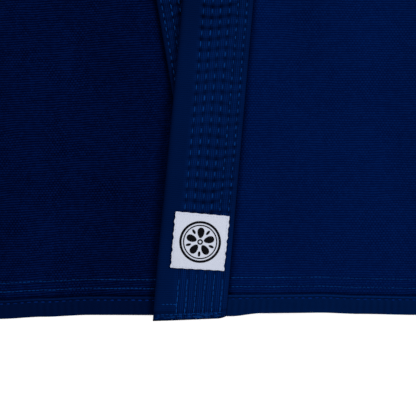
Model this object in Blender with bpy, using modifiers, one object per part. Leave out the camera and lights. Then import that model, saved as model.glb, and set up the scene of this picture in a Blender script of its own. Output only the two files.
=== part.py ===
"""A jiu-jitsu gi jacket, laid flat on its back with the fronts crossed and the sleeves spread.

Metres, +Z up. The jacket lies on the plane z = 0, with +X to the wearer's left and +Y from the hem to
the collar. While a piece is shaped, its second coordinate is the height above the hem line; the last
step moves it so that the origin is below the middle of the whole jacket.

The cloth is modelled as the maker cuts it: back, two fronts and two sleeves of woven cloth, one thick
lapel band that runs from hem to hem round the neck, tape folded over the hems, and a woven patch.
"""
import math

import bmesh
import bpy
from mathutils import Vector

MM = 0.001

# Cloth
PANEL = 1.6 * MM            # pearl weave, a heavy cloth
TAPE = 1.0 * MM             # smooth tape over the hems
PATCH = 1.0 * MM            # woven patch
SEAM_GAP = 0.3 * MM         # between pieces that are sewn or lie together

# Body
HEM_HALF = 0.300            # half the width at the hem
CHEST_HALF = 0.285          # half the width from the armpit to the shoulder
ARMPIT = 0.510              # heights above the hem
SHOULDER_END = 0.765
NECK_SIDE = 0.800
NECK_DIP = 0.025            # how far the back neckline dips at its middle
VENT = 0.180                # open slit at the foot of each side seam
VENT_INSET = 0.006          # the front edge of the slit lies this far inside the back edge
SEAM_RAMP = 0.050           # length over which the side seam starts above the slit
ARMPIT_RAMP = 0.030         # and over which it ends below the armpit
SIDE_FROM = 0.93            # share of a front's width beyond which it comes down to the back
SHOULDER_FROM = 0.96        # share of its height, likewise
BACK_LIFT = 0.004           # the back hem hides this far above the front hem
HEM_REACH = 0.200           # height up to which the wave of the hem line is felt
MIDDLE = 0.4174             # half way from the lapel's foot to the top of the collar

# Lapel band, with its stitched rows measured from the seam edge
LAPEL_WIDTH = 50.0 * MM
LAPEL_FLARE = 1.5 * MM      # extra width at the foot
FLARE_REACH = 0.220         # height at which the extra width ends
LAPEL_THICK = 5.5 * MM
LAPEL_EDGE = 1.2 * MM       # rounding of its edges
LAPEL_SIDE = 0.4            # share of its half thickness that its edges stay upright
ROWS = 6
FIRST_ROW = 4.5 * MM
ROW_PITCH = 6.0 * MM
ROW_DEPTH = 0.5 * MM
OVER_SEAM = 25.4 * MM       # where the seam of the upper (left) lapel meets the hem
OVER_LEAN = 0.0874          # sideways run for each metre up
OVER_FOOT = -1.2 * MM       # the upper lapel ends just below the hem
OVER_FOOT_TILT = math.radians(2.4)
FOOT_TURN = 0.060           # height over which its sections turn square to its seam
UNDER_SEAM = 14.7 * MM      # the same for the lower (right) lapel
UNDER_LEAN = -0.1734
UNDER_FOOT = 3.0 * MM
BEND_FROM = 0.250           # the lower lapel grows steeper above this height
NECK_HALF = OVER_SEAM + OVER_LEAN * NECK_SIDE
UNDER_BEND = (-NECK_HALF - UNDER_SEAM - UNDER_LEAN * NECK_SIDE) / (NECK_SIDE - BEND_FROM) ** 2

# Fold of the band at each side of the neck, as radii to the middle of the band
FOLD_AT_SEAM = 3.0 * MM
FOLD_AT_EDGE = 6.0 * MM
FOLD_STEPS = 8
NECK_STEPS = 6
NECK_FROM = 0.700           # above this height the band turns towards its fold
CLOSE_RINGS = 24            # sections of a lapel from its foot up to the height that follows
CLOSE_RINGS_TO = 0.340
FAR_RINGS = 10              # sections above that height

# Hem tape: a short leg outside and a long leg inside
HEM_EDGE = 1.6 * MM         # the panel ends this far above the bottom of its tape
TAPE_OUTSIDE = 12.2 * MM - HEM_EDGE
TAPE_INSIDE = 30.0 * MM - HEM_EDGE

# Woven patch on the upper lapel
PATCH_WIDTH = 38.0 * MM
PATCH_HEIGHT = 39.4 * MM
PATCH_UP = 50.3 * MM        # height on the seam edge of the lapel that is level with its middle
PATCH_IN = 22.7 * MM        # its middle, measured in from the seam edge of the lapel

# Sleeves
CUFF_TOP = (0.796, 0.687)
CUFF_BOTTOM = (0.784, 0.512)
SLEEVE_HOLLOW = 2.6 * MM    # height of the space inside the flat sleeve
CUFF_HOLLOW = 1.4 * MM
SLEEVE_END_ZONE = 0.3       # share of its length over which that changes at each end

# Rise and fall of the front hem line: (across, height)
HEM_LINE = (
    (-0.300, -0.0010), (-0.134, -0.0017), (-0.103, -0.0002), (-0.070, 0.0011), (0.010, 0.0008),
    (0.028, 0.0001), (0.049, 0.0020), (0.088, 0.0026), (0.120, 0.0016), (0.160, 0.0011),
    (0.300, 0.0000),
)

# Heights of the underside of each layer, in the open cloth and over the hem tapes: (open, hem)
ON_BACK = (2.2 * MM, 5.8 * MM)         # a front where it lies on the back
ON_FRONT = (4.1 * MM, 9.0 * MM)        # the upper lapel where it lies on the right front
ON_LAPEL = (8.0 * MM, 11.6 * MM)       # the upper lapel and left front over the lower lapel
LOWER_LAPEL = (2.2 * MM, 4.5 * MM)     # the lower lapel on the back
BACK_HEM = TAPE + SEAM_GAP             # the back, lifted by the outer leg of its own tape
SIDE_SEAM_BASE = PANEL + SEAM_GAP
NECK_RISE = 3.9 * MM                   # both panels rise to the fold at the side of the neck
NECK_REACH = 0.090
HEM_ZONE = (0.038, 0.085)              # the hem's layers end at the first height, the slope at the second
BACK_HEM_ZONE = (0.014, 0.034)
RAMP_UP = (-40.0 * MM, -12.0 * MM)     # slope onto the lower lapel, from its seam
RAMP_DOWN = (66.0 * MM, 100.0 * MM)    # slope off it


def ease(t):
    t = min(max(t, 0.0), 1.0)
    return t * t * (3.0 - 2.0 * t)


def mix(a, b, t):
    return a + (b - a) * t


def hem_share(height):
    """1 over the hem tapes, falling to 0 in the open cloth."""
    return 1.0 - ease((height - HEM_ZONE[0]) / (HEM_ZONE[1] - HEM_ZONE[0]))


def layer(levels, height):
    return mix(levels[0], levels[1], hem_share(height))


def over_seam_x(height):
    return OVER_SEAM + OVER_LEAN * height


def under_seam_x(height):
    return UNDER_SEAM + UNDER_LEAN * height + UNDER_BEND * max(height - BEND_FROM, 0.0) ** 2


def side_x(height):
    """Half the width of the body."""
    return CHEST_HALF + (HEM_HALF - CHEST_HALF) * max(ARMPIT - height, 0.0) / ARMPIT


def hem_line(x):
    for (x0, y0), (x1, y1) in zip(HEM_LINE, HEM_LINE[1:]):
        if x <= x1:
            return mix(y0, y1, ease((x - x0) / (x1 - x0)))
    return HEM_LINE[-1][1]


def neck_rise(x, height):
    reach = math.hypot(abs(x) - NECK_HALF, height - NECK_SIDE)
    return NECK_RISE * ease(1.0 - reach / NECK_REACH)


def over_base(x, height):
    """Underside of the upper lapel and the left front, over all that lies below them."""
    from_seam = (x - under_seam_x(max(height, HEM_ZONE[0]))) * math.cos(math.atan(UNDER_LEAN))
    up = ease((from_seam - RAMP_UP[0]) / (RAMP_UP[1] - RAMP_UP[0]))
    down = ease((from_seam - RAMP_DOWN[0]) / (RAMP_DOWN[1] - RAMP_DOWN[0]))
    level = mix(layer(ON_FRONT, height), layer(ON_LAPEL, height), up)
    return mix(level, layer(ON_BACK, height), down)


def under_base(x, height):
    """Underside of the lower lapel."""
    return layer(LOWER_LAPEL, height)


def back_base(x, height):
    hem = 1.0 - ease((height - BACK_HEM_ZONE[0]) / (BACK_HEM_ZONE[1] - BACK_HEM_ZONE[0]))
    return BACK_HEM * hem + neck_rise(x, height)


def back_top(x):
    """Height of the back's upper edge: a dipping neckline between two sloping shoulders."""
    if abs(x) <= NECK_HALF:
        return NECK_SIDE - NECK_DIP * (1.0 - (x / NECK_HALF) ** 2)
    return mix(NECK_SIDE, SHOULDER_END, (abs(x) - NECK_HALF) / (CHEST_HALF - NECK_HALF))


# Helpers that turn sheets and sections into objects

def cloth_material(name, colour, roughness):
    material = bpy.data.materials.new(name)
    material.use_nodes = True
    shader = material.node_tree.nodes["Principled BSDF"]
    shader.inputs["Base Color"].default_value = (*colour, 1.0)
    shader.inputs["Roughness"].default_value = roughness
    shader.inputs["Metallic"].default_value = 0.0
    return material


def add_object(name, shape, material, collection):
    """Makes an object of a bmesh, and moves it so that the origin is below the jacket's middle."""
    bmesh.ops.translate(shape, verts=shape.verts, vec=(0.0, -MIDDLE, 0.0))
    mesh = bpy.data.meshes.new(name)
    shape.to_mesh(mesh)
    shape.free()
    mesh.materials.append(material)
    piece = bpy.data.objects.new(name, mesh)
    collection.objects.link(piece)
    return piece


def open_sheet(columns, rows, place):
    """An open sheet of columns by rows, put in place by a rule."""
    shape = bmesh.new()
    bmesh.ops.create_grid(shape, x_segments=columns - 1, y_segments=rows - 1, size=0.5)
    for vertex in shape.verts:
        column = round((vertex.co.x + 0.5) * (columns - 1))
        row = round((vertex.co.y + 0.5) * (rows - 1))
        vertex.co = place(column, row)
    return shape


def lying_cloth(name, columns, rows, place, thickness, material, collection):
    """Cloth that lies level: its underside is put in place by a rule, and its face lies straight above."""
    shape = open_sheet(columns, rows, place)
    pulled = bmesh.ops.extrude_face_region(shape, geom=shape.faces[:])
    face_side = [thing for thing in pulled["geom"] if isinstance(thing, bmesh.types.BMVert)]
    bmesh.ops.translate(shape, verts=face_side, vec=(0.0, 0.0, thickness))
    bmesh.ops.recalc_face_normals(shape, faces=shape.faces)
    return add_object(name, shape, material, collection)


def folded_cloth(name, columns, rows, place, thickness, material, collection, inward):
    """Cloth folded round an edge: an open sheet that gets its wall on its outer side."""
    shape = open_sheet(columns, rows, place)
    if inward:
        bmesh.ops.reverse_faces(shape, faces=shape.faces)
    piece = add_object(name, shape, material, collection)
    wall = piece.modifiers.new("wall", "SOLIDIFY")
    wall.thickness = thickness
    wall.offset = 1.0
    wall.use_even_offset = True
    return piece


def skin_between(shape, ring, following):
    """Quads between two sections with the same number of points."""
    count = len(ring)
    for k in range(count):
        n = (k + 1) % count
        shape.faces.new((ring[k], ring[n], following[n], following[k]))


# Panels. Rows are heights above the panel's own edge, with the first ones under the tape's edges.

LOW_ROWS = (0.0, TAPE_OUTSIDE, TAPE_INSIDE, 0.038, 0.050, 0.062, 0.074, 0.086)
HIGH_ROWS = 17
FRONT_COLUMNS = 16
ROW_HEIGHTS = LOW_ROWS + tuple(
    mix(LOW_ROWS[-1], NECK_SIDE, (k + 1) / HIGH_ROWS) for k in range(HIGH_ROWS))


def raised(row, top):
    """A row's height, with the highest rows following the shoulder line."""
    return row + (top - NECK_SIDE) * ease((row - 0.5 * NECK_SIDE) / (0.5 * NECK_SIDE))


def front_point(column, row, side):
    """A point of a front's underside, for side +1 (left, on top) or -1 (right)."""
    across = (column / (FRONT_COLUMNS - 1)) ** 1.5
    seam = over_seam_x if side > 0 else under_seam_x
    height = raised(row, mix(NECK_SIDE - SEAM_GAP, SHOULDER_END, across))
    seam_share = ease((height - VENT) / SEAM_RAMP)
    outer = side * (side_x(height) - VENT_INSET * (1.0 - seam_share))
    edge = (hem_line(mix(seam(height), outer, across)) + HEM_EDGE) * (1.0 - ease(height / HEM_REACH))
    x = mix(seam(height + edge) + side * SEAM_GAP, outer, across)
    if side > 0:
        base = over_base(x, height)
    else:
        base = layer(ON_BACK, height)
    at_side = ease((across - SIDE_FROM) / (1.0 - SIDE_FROM)) * seam_share
    at_side *= ease((ARMPIT - height) / ARMPIT_RAMP)
    at_shoulder = ease((row / NECK_SIDE - SHOULDER_FROM) / (1.0 - SHOULDER_FROM))
    base = mix(base, SIDE_SEAM_BASE, max(at_side, at_shoulder))
    return Vector((x, height + edge, base + neck_rise(x, height)))


SHOULDER_STEPS = 6
HALF_COLUMNS = tuple(k / NECK_STEPS * NECK_HALF / CHEST_HALF for k in range(NECK_STEPS)) + tuple(
    mix(NECK_HALF / CHEST_HALF, 1.0, k / SHOULDER_STEPS) for k in range(SHOULDER_STEPS + 1))
BACK_COLUMNS = tuple(-c for c in reversed(HALF_COLUMNS[1:])) + HALF_COLUMNS


def back_point(column, row):
    """A point of the back's underside."""
    share = BACK_COLUMNS[column]
    top = back_top(share * CHEST_HALF)
    height = raised(row, top)
    x = share * side_x(height)
    edge = (HEM_EDGE + BACK_LIFT) * (1.0 - ease(height / HEM_REACH))
    return Vector((x, height + edge, back_base(x, height)))


def make_panels(material, collection):
    rows = len(ROW_HEIGHTS)
    lying_cloth("back", len(BACK_COLUMNS), rows,
                lambda i, j: back_point(i, ROW_HEIGHTS[j]), PANEL, material, collection)
    lying_cloth("front_left", FRONT_COLUMNS, rows,
                lambda i, j: front_point(i, ROW_HEIGHTS[j], 1), PANEL, material, collection)
    lying_cloth("front_right", FRONT_COLUMNS, rows,
                lambda i, j: front_point(i, ROW_HEIGHTS[j], -1), PANEL, material, collection)


# Tape folded over a panel's lower edge: each point of its path is a panel row and a height above
# the panel's underside.

def tape_leg(length, lift):
    """A leg of the tape from the hem up, with a step where the shorter leg ends."""
    rows = [0.0, TAPE_OUTSIDE] if length == TAPE_OUTSIDE else [0.0, TAPE_OUTSIDE, length]
    return [(row, lift) for row in rows]


def tape_path(lower_leg, upper_leg):
    turn = -0.5 * MM
    below = tape_leg(lower_leg, -SEAM_GAP)
    above = tape_leg(upper_leg, PANEL + SEAM_GAP)
    return below[::-1] + [(turn, 0.2 * PANEL), (turn, 0.8 * PANEL)] + above


def make_tape(name, columns, point, lower_leg, upper_leg, material, collection, inward=False):
    path = tape_path(lower_leg, upper_leg)

    def place(column, row):
        along, lift = path[row]
        spot = point(column, max(along, 0.0))
        return spot + Vector((0.0, min(along, 0.0), lift))

    folded_cloth(name, columns, len(path), place, TAPE, material, collection, inward)


def make_tapes(material, collection):
    make_tape("hem_tape_front_left", FRONT_COLUMNS, lambda i, row: front_point(i, row, 1),
              TAPE_INSIDE, TAPE_OUTSIDE, material, collection)
    make_tape("hem_tape_front_right", FRONT_COLUMNS, lambda i, row: front_point(i, row, -1),
              TAPE_INSIDE, TAPE_OUTSIDE, material, collection, inward=True)
    make_tape("hem_tape_back", len(BACK_COLUMNS), back_point,
              TAPE_OUTSIDE, TAPE_INSIDE, material, collection)


# Lapel band: its section as (in from the seam edge, out from the middle of its thickness)

def band_section():
    half = 0.5 * LAPEL_THICK
    upright = LAPEL_SIDE * half
    points = [(0.0, -upright), (0.0, upright), (LAPEL_EDGE, half)]
    for k in range(ROWS):
        row = FIRST_ROW + k * ROW_PITCH
        points.append((row, half - ROW_DEPTH))
        if k < ROWS - 1:
            points.append((row + 0.5 * ROW_PITCH, half))
    last = FIRST_ROW + (ROWS - 1) * ROW_PITCH
    free_edge = LAPEL_WIDTH - 1.5 * LAPEL_EDGE
    points.append((last + 0.5 * ROW_PITCH, half))
    points.append((free_edge, half))
    points.append((LAPEL_WIDTH, upright))
    points.append((LAPEL_WIDTH, -upright))
    points.append((free_edge, -half))
    for share in (0.75, 0.5, 0.25):
        points.append((share * LAPEL_WIDTH, -half))
    points.append((LAPEL_EDGE, -half))
    return points


SECTION = band_section()


def lying_ring(height, seam_x, side, base, tilt):
    """A section of the band where it lies on the layers below."""
    start = Vector((seam_x(height), height))
    inward = Vector((-side * math.cos(tilt), math.sin(tilt)))
    width = LAPEL_WIDTH + LAPEL_FLARE * (1.0 - ease(height / FLARE_REACH))
    ring = []
    for across, out in SECTION:
        spot = start + inward * (across / LAPEL_WIDTH * width)
        ring.append(Vector((spot.x, spot.y, base(spot.x, spot.y) + 0.5 * LAPEL_THICK + out)))
    return ring


def rung_ring(seam_end, free_end, outward):
    """A section of the band between two points at the middle of its thickness."""
    across_way = (free_end - seam_end).normalized()
    outward = (outward - across_way * outward.dot(across_way)).normalized()
    length = (free_end - seam_end).length
    return [seam_end + across_way * (across / LAPEL_WIDTH * length) + outward * out
            for across, out in SECTION]


def lean_at(seam_x, height):
    """Angle of a lapel's seam from straight up."""
    step = 1.0 * MM
    return math.atan(abs(seam_x(height + step) - seam_x(height - step)) / (2.0 * step))


def front_rings(seam_x, side, base, foot, foot_tilt):
    """From the foot of a lapel up to where the band turns to its fold at the neck."""
    rings = []
    heights = [mix(foot, CLOSE_RINGS_TO, k / CLOSE_RINGS) for k in range(CLOSE_RINGS)]
    heights += [mix(CLOSE_RINGS_TO, NECK_FROM, k / FAR_RINGS) for k in range(FAR_RINGS)]
    for height in heights:
        tilt = mix(foot_tilt, lean_at(seam_x, height), ease((height - foot) / FOOT_TURN))
        rings.append(lying_ring(height, seam_x, side, base, tilt))
    return rings


def neck_rings(seam_x, side):
    """From the front over the fold at one side of the neck to the middle of the back neckline."""
    middle = 0.5 * LAPEL_THICK
    low = LOWER_LAPEL[0] + middle
    lean = lean_at(seam_x, NECK_SIDE)
    up = Vector((math.sin(lean), math.cos(lean)))
    slope = 2.0 * NECK_DIP / NECK_HALF
    back = Vector((-1.0, -slope)).normalized()
    fold = (up + back).normalized()
    bulge = Vector((fold.y, -fold.x))
    corner = Vector((NECK_HALF, NECK_SIDE)) + fold * 3.0 * SEAM_GAP
    reach = LAPEL_WIDTH / (fold.x * -up.y + fold.y * up.x)
    free_corner = corner + fold * reach
    to_corner = corner.x - side * seam_x(corner.y)
    square = math.pi - lean
    fold_angle = math.atan2(fold.y, fold.x)
    rings = []

    def add(seam_spot, seam_z, free_spot, free_z, outward):
        seam_end = Vector((side * seam_spot.x, seam_spot.y, seam_z))
        free_end = Vector((side * free_spot.x, free_spot.y, free_z))
        rings.append(rung_ring(seam_end, free_end, Vector((side * outward.x, outward.y, outward.z))))

    for k in range(NECK_STEPS):
        t = k / NECK_STEPS
        height = mix(NECK_FROM, corner.y, t)
        seam_spot = Vector((side * seam_x(height) + to_corner * t, height))
        angle = mix(square, fold_angle, t)
        way = Vector((math.cos(angle), math.sin(angle)))
        free_spot = seam_spot + way * (LAPEL_WIDTH / (way.x * -up.y + way.y * up.x))
        add(seam_spot, mix(low, middle + 2.0 * FOLD_AT_SEAM, ease(t)),
            free_spot, mix(low, middle + 2.0 * FOLD_AT_EDGE, ease(t)), Vector((0.0, 0.0, 1.0)))
    for k in range(FOLD_STEPS + 1):
        turn = math.pi * k / FOLD_STEPS
        outward = Vector((bulge.x * math.sin(turn), bulge.y * math.sin(turn), math.cos(turn)))
        add(corner + bulge * FOLD_AT_SEAM * math.sin(turn),
            middle + FOLD_AT_SEAM * (1.0 + math.cos(turn)),
            free_corner + bulge * FOLD_AT_EDGE * math.sin(turn),
            middle + FOLD_AT_EDGE * (1.0 + math.cos(turn)), outward)
    for k in range(1, NECK_STEPS + 1):
        t = k / NECK_STEPS
        x = NECK_HALF * (1.0 - t)
        seam_spot = Vector((x, back_top(x) + 2.0 * SEAM_GAP))
        across_way = Vector((-slope * x / NECK_HALF, 1.0)).normalized()
        angle = mix(fold_angle, 0.5 * math.pi, ease(0.5 + 0.5 * t) * 2.0 - 1.0)
        way = Vector((math.cos(angle), math.sin(angle)))
        free_spot = seam_spot + way * (LAPEL_WIDTH / way.dot(across_way))
        add(seam_spot, middle, free_spot, middle, Vector((0.0, 0.0, -1.0)))
    return rings


def make_lapel_band(material, collection):
    left = front_rings(over_seam_x, 1, over_base, OVER_FOOT, -OVER_FOOT_TILT)
    left += neck_rings(over_seam_x, 1)
    right = front_rings(under_seam_x, -1, under_base, UNDER_FOOT, 0.0)
    right += neck_rings(under_seam_x, -1)
    rings = left + list(reversed(right[:-1]))
    shape = bmesh.new()
    loops = [[shape.verts.new(point) for point in ring] for ring in rings]
    for ring, following in zip(loops, loops[1:]):
        skin_between(shape, ring, following)
    shape.faces.new(list(reversed(loops[0])))
    shape.faces.new(loops[-1])
    bmesh.ops.recalc_face_normals(shape, faces=shape.faces)
    add_object("lapel_band", shape, material, collection)


# Sleeves: a tube pressed flat, as two rings of points in each section, outside and inside

SLEEVE_STEPS = 12
TURN_STEPS = 4
RUN_STEPS = 6


def flat_ring(low, high, thickness, inset):
    """A section from its lower to its upper folded edge, drawn in by the wall for the inside."""
    radius = 0.5 * thickness
    along = (high - low).normalized()
    width = (high - low).length
    ring = []
    for end, start_angle in ((width - radius, -0.5 * math.pi), (radius, 0.5 * math.pi)):
        for k in range(TURN_STEPS + 1):
            angle = start_angle + math.pi * k / TURN_STEPS
            across = end + (radius - inset) * math.cos(angle)
            ring.append((across, radius + (radius - inset) * math.sin(angle)))
        step = -1 if end > radius else 1
        for k in range(1, RUN_STEPS):
            across = end + step * k / RUN_STEPS * (width - 2.0 * radius)
            ring.append((across, thickness - inset if step < 0 else inset))
    return [Vector((low.x + along.x * a, low.y + along.y * a, z)) for a, z in ring]


def sleeve_hollow(share):
    """Height of the space inside the flat sleeve."""
    at_body = ON_BACK[0] - PANEL
    fullness = ease(share / SLEEVE_END_ZONE)
    flatness = ease((share - 1.0 + SLEEVE_END_ZONE) / SLEEVE_END_ZONE)
    return mix(at_body, SLEEVE_HOLLOW, fullness) - (SLEEVE_HOLLOW - CUFF_HOLLOW) * flatness


def make_sleeve(name, side, material, collection):
    shape = bmesh.new()
    start = CHEST_HALF + SEAM_GAP
    outer_loops = []
    inner_loops = []
    for k in range(SLEEVE_STEPS + 1):
        share = k / SLEEVE_STEPS
        low = Vector((side * mix(start, CUFF_BOTTOM[0], share), mix(ARMPIT, CUFF_BOTTOM[1], share)))
        high = Vector((side * mix(start, CUFF_TOP[0], share), mix(SHOULDER_END, CUFF_TOP[1], share)))
        thickness = 2.0 * PANEL + sleeve_hollow(share)
        outer_loops.append([shape.verts.new(p) for p in flat_ring(low, high, thickness, 0.0)])
        inner_loops.append([shape.verts.new(p) for p in flat_ring(low, high, thickness, PANEL)])
    for loops in (outer_loops, inner_loops):
        for ring, following in zip(loops, loops[1:]):
            skin_between(shape, ring, following)
    skin_between(shape, inner_loops[0], outer_loops[0])
    skin_between(shape, outer_loops[-1], inner_loops[-1])
    bmesh.ops.recalc_face_normals(shape, faces=shape.faces)
    add_object(name, shape, material, collection)


# Woven patch, from the points of the lapel below it

def make_patch(material, collection):
    tilt = math.atan(OVER_LEAN)
    inward = Vector((-math.cos(tilt), math.sin(tilt)))
    upward = Vector((math.sin(tilt), math.cos(tilt)))
    middle = Vector((over_seam_x(PATCH_UP), PATCH_UP)) + inward * PATCH_IN
    columns, rows = 7, 6

    def place(column, row):
        spot = (middle - inward * PATCH_WIDTH * (column / (columns - 1) - 0.5)
                + upward * PATCH_HEIGHT * (row / (rows - 1) - 0.5))
        return Vector((spot.x, spot.y, over_base(spot.x, spot.y) + LAPEL_THICK + 1.5 * SEAM_GAP))

    lying_cloth("label", columns, rows, place, PATCH, material, collection)


def main():
    for thing in list(bpy.data.objects):
        bpy.data.objects.remove(thing, do_unlink=True)
    collection = bpy.data.collections.new("jiu_jitsu_gi")
    bpy.context.scene.collection.children.link(collection)
    make_panels(cloth_material("pearl weave", (0.0008, 0.0070, 0.0500), 0.85), collection)
    make_tapes(cloth_material("hem tape", (0.0010, 0.0080, 0.0480), 0.80), collection)
    make_lapel_band(cloth_material("lapel cloth", (0.0010, 0.0080, 0.0450), 0.80), collection)
    sleeve_cloth = cloth_material("sleeve cloth", (0.0008, 0.0070, 0.0500), 0.85)
    make_sleeve("sleeve_left", 1, sleeve_cloth, collection)
    make_sleeve("sleeve_right", -1, sleeve_cloth, collection)
    make_patch(cloth_material("patch", (0.62, 0.64, 0.78), 0.75), collection)


main()
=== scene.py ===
# %% [markdown]
# # A jiu-jitsu gi jacket, laid flat
#
# The jacket lies on its back on a pale floor, with its fronts crossed and its sleeves spread. The camera
# looks straight down at the foot of the lapels, where the stitched lapel band, the woven patch and the
# taped hems meet. The solids of the jacket come in as a fixed frame. This script lays finer cloth on
# each of them, sews it with real stitches, and gives every cloth its own procedural material.

# %% Load the frame
import math
import random

import bmesh
import bpy
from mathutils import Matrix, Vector


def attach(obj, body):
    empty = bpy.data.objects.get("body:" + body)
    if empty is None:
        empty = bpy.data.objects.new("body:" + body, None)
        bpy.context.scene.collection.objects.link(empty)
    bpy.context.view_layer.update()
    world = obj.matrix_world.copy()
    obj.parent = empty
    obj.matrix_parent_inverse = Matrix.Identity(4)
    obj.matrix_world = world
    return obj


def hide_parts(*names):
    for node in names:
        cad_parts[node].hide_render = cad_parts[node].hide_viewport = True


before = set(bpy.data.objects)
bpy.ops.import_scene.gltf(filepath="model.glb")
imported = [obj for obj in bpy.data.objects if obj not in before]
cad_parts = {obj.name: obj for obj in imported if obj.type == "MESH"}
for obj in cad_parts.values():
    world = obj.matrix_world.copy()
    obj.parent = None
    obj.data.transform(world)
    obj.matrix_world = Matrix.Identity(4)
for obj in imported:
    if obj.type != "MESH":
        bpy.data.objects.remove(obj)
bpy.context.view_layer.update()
print("solids:", sorted(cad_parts))

# %% [markdown]
# ## The sizes of the jacket
#
# A maker works from a short list of sizes: widths, heights above the hem, the cut of the lapel and the
# thickness of each cloth. The finer cloth is worked out from the same list as the solids, so that it
# lies exactly on them. Heights are measured up from the hem line, and MIDDLE moves them into the frame.

# %% Sizes
MM = 0.001
# Thickness of each cloth, and the gap between two pieces
PANEL, TAPE, PATCH, GAP = 1.6 * MM, 1.0 * MM, 1.0 * MM, 0.3 * MM
# Half widths of the body, and heights above the hem
HEM_HALF, CHEST_HALF = 0.300, 0.285
ARMPIT, SHOULDER_END, NECK_SIDE, NECK_DIP = 0.510, 0.765, 0.800, 0.025
# The open slit at each side, and how far the back's hem hides above the front's
VENT, VENT_INSET, BACK_LIFT = 0.180, 0.006, 0.004
# The lapel band, and its six rows of stitches
LAPEL_WIDTH, LAPEL_FLARE, LAPEL_THICK = 50.0 * MM, 1.5 * MM, 5.5 * MM
# Heights over which the foot's extra width dies away, and its end turns square to the seam
FLARE_REACH, FOOT_TURN = 0.22, 0.06
ROWS, FIRST_ROW, ROW_PITCH = 6, 4.5 * MM, 6.0 * MM
# Seam of the upper lapel: where it meets the hem, and its lean
OVER_SEAM, OVER_LEAN, OVER_FOOT = 25.4 * MM, 0.0874, -1.2 * MM
OVER_FOOT_TILT = math.radians(2.4)
# Seam of the lower lapel, which bends towards the neck above a height
UNDER_SEAM, UNDER_LEAN, UNDER_FOOT, BEND_FROM = 14.7 * MM, -0.1734, 3.0 * MM, 0.250
NECK_HALF = OVER_SEAM + OVER_LEAN * NECK_SIDE
UNDER_BEND = (-NECK_HALF - UNDER_SEAM - UNDER_LEAN * NECK_SIDE) / (NECK_SIDE - BEND_FROM) ** 2
# Radii of the fold beside the neck, and the height from which the band turns to it
FOLD_AT_SEAM, FOLD_AT_EDGE, NECK_FROM = 3.0 * MM, 6.0 * MM, 0.700
# The panel ends a little above the bottom of its tape, and the tape reaches up from there
HEM_EDGE = 1.6 * MM
TAPE_OUTSIDE, TAPE_INSIDE = 12.2 * MM - HEM_EDGE, 30.0 * MM - HEM_EDGE
# The patch: its middle is measured up the hem and in from the lapel's seam
PATCH_WIDTH, PATCH_HEIGHT, PATCH_UP, PATCH_IN = 38.0 * MM, 39.4 * MM, 50.3 * MM, 22.7 * MM
CUFF_TOP, CUFF_BOTTOM = (0.796, 0.687), (0.784, 0.512)
# Wave of the hem: distance across, and how far up the hem lies there
HEM_LINE = (
    (-0.300, -0.0010), (-0.134, -0.0017), (-0.103, -0.0002), (-0.070, 0.0011), (0.010, 0.0008),
    (0.028, 0.0005), (0.049, 0.0026), (0.088, 0.0029), (0.120, 0.0018), (0.160, 0.0011),
    (0.300, 0.0000),
)
# Height of an underside over open cloth, and over the thicker hems
ON_BACK, ON_FRONT = (2.2 * MM, 5.8 * MM), (4.1 * MM, 9.0 * MM)
ON_LAPEL, LOWER_LAPEL = (8.0 * MM, 11.6 * MM), (2.2 * MM, 4.5 * MM)
# Heights between which the thickness of the hems dies away
HEM_ZONE, BACK_HEM_ZONE = (0.038, 0.085), (0.014, 0.034)
# Slopes onto the lower lapel and off it, as distances from its seam
RAMP_UP, RAMP_DOWN = (-40.0 * MM, -12.0 * MM), (66.0 * MM, 100.0 * MM)
NECK_RISE, NECK_REACH = 3.9 * MM, 0.090
MIDDLE = 0.4174

# %% [markdown]
# ## Rules for the layers
#
# Cloth that lies on other cloth takes its height from what is below it. A cloth simulation could find
# these heights, but its cloth would drift off the solids. So short rules say how high the underside of
# each layer is at any spot: the hems are thicker than the open cloth, and the upper lapel and the left
# front climb over the lower lapel and down again on its other side.

# %% Layer rules
UP = Vector((0.0, 0.0, 1.0))


def ease(t):
    t = min(max(t, 0.0), 1.0)
    return t * t * (3.0 - 2.0 * t)


def mix(a, b, t):
    return a + (b - a) * t


def layer(levels, height):
    """Height of an underside, from its level over open cloth and over the hems."""
    hem = 1.0 - ease((height - HEM_ZONE[0]) / (HEM_ZONE[1] - HEM_ZONE[0]))
    return mix(levels[0], levels[1], hem)


def over_seam_x(height):
    return OVER_SEAM + OVER_LEAN * height


def under_seam_x(height):
    return UNDER_SEAM + UNDER_LEAN * height + UNDER_BEND * max(height - BEND_FROM, 0.0) ** 2


def side_x(height):
    return CHEST_HALF + (HEM_HALF - CHEST_HALF) * max(ARMPIT - height, 0.0) / ARMPIT


def hem_line(x):
    """How far up the hem lies at a distance across, eased between the points of its table."""
    for (x0, y0), (x1, y1) in zip(HEM_LINE, HEM_LINE[1:]):
        if x <= x1:
            return mix(y0, y1, ease((x - x0) / (x1 - x0)))
    return HEM_LINE[-1][1]


def neck_rise(x, height):
    """Near the sides of the neck all cloth rises to the fold of the band."""
    reach = math.hypot(abs(x) - NECK_HALF, height - NECK_SIDE)
    return NECK_RISE * ease(1.0 - reach / NECK_REACH)


def over_base(x, height):
    """Underside of the upper lapel and the left front, over whatever lies below them."""
    lean = math.cos(math.atan(UNDER_LEAN))
    from_seam = (x - under_seam_x(max(height, HEM_ZONE[0]))) * lean
    up = ease((from_seam - RAMP_UP[0]) / (RAMP_UP[1] - RAMP_UP[0]))
    down = ease((from_seam - RAMP_DOWN[0]) / (RAMP_DOWN[1] - RAMP_DOWN[0]))
    level = mix(layer(ON_FRONT, height), layer(ON_LAPEL, height), up)
    return mix(level, layer(ON_BACK, height), down)


def under_base(_, height):
    """Underside of the lower lapel, which is the same all across."""
    return layer(LOWER_LAPEL, height)


def back_base(x, height):
    hem = 1.0 - ease((height - BACK_HEM_ZONE[0]) / (BACK_HEM_ZONE[1] - BACK_HEM_ZONE[0]))
    return (TAPE + GAP) * hem + neck_rise(x, height)


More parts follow.
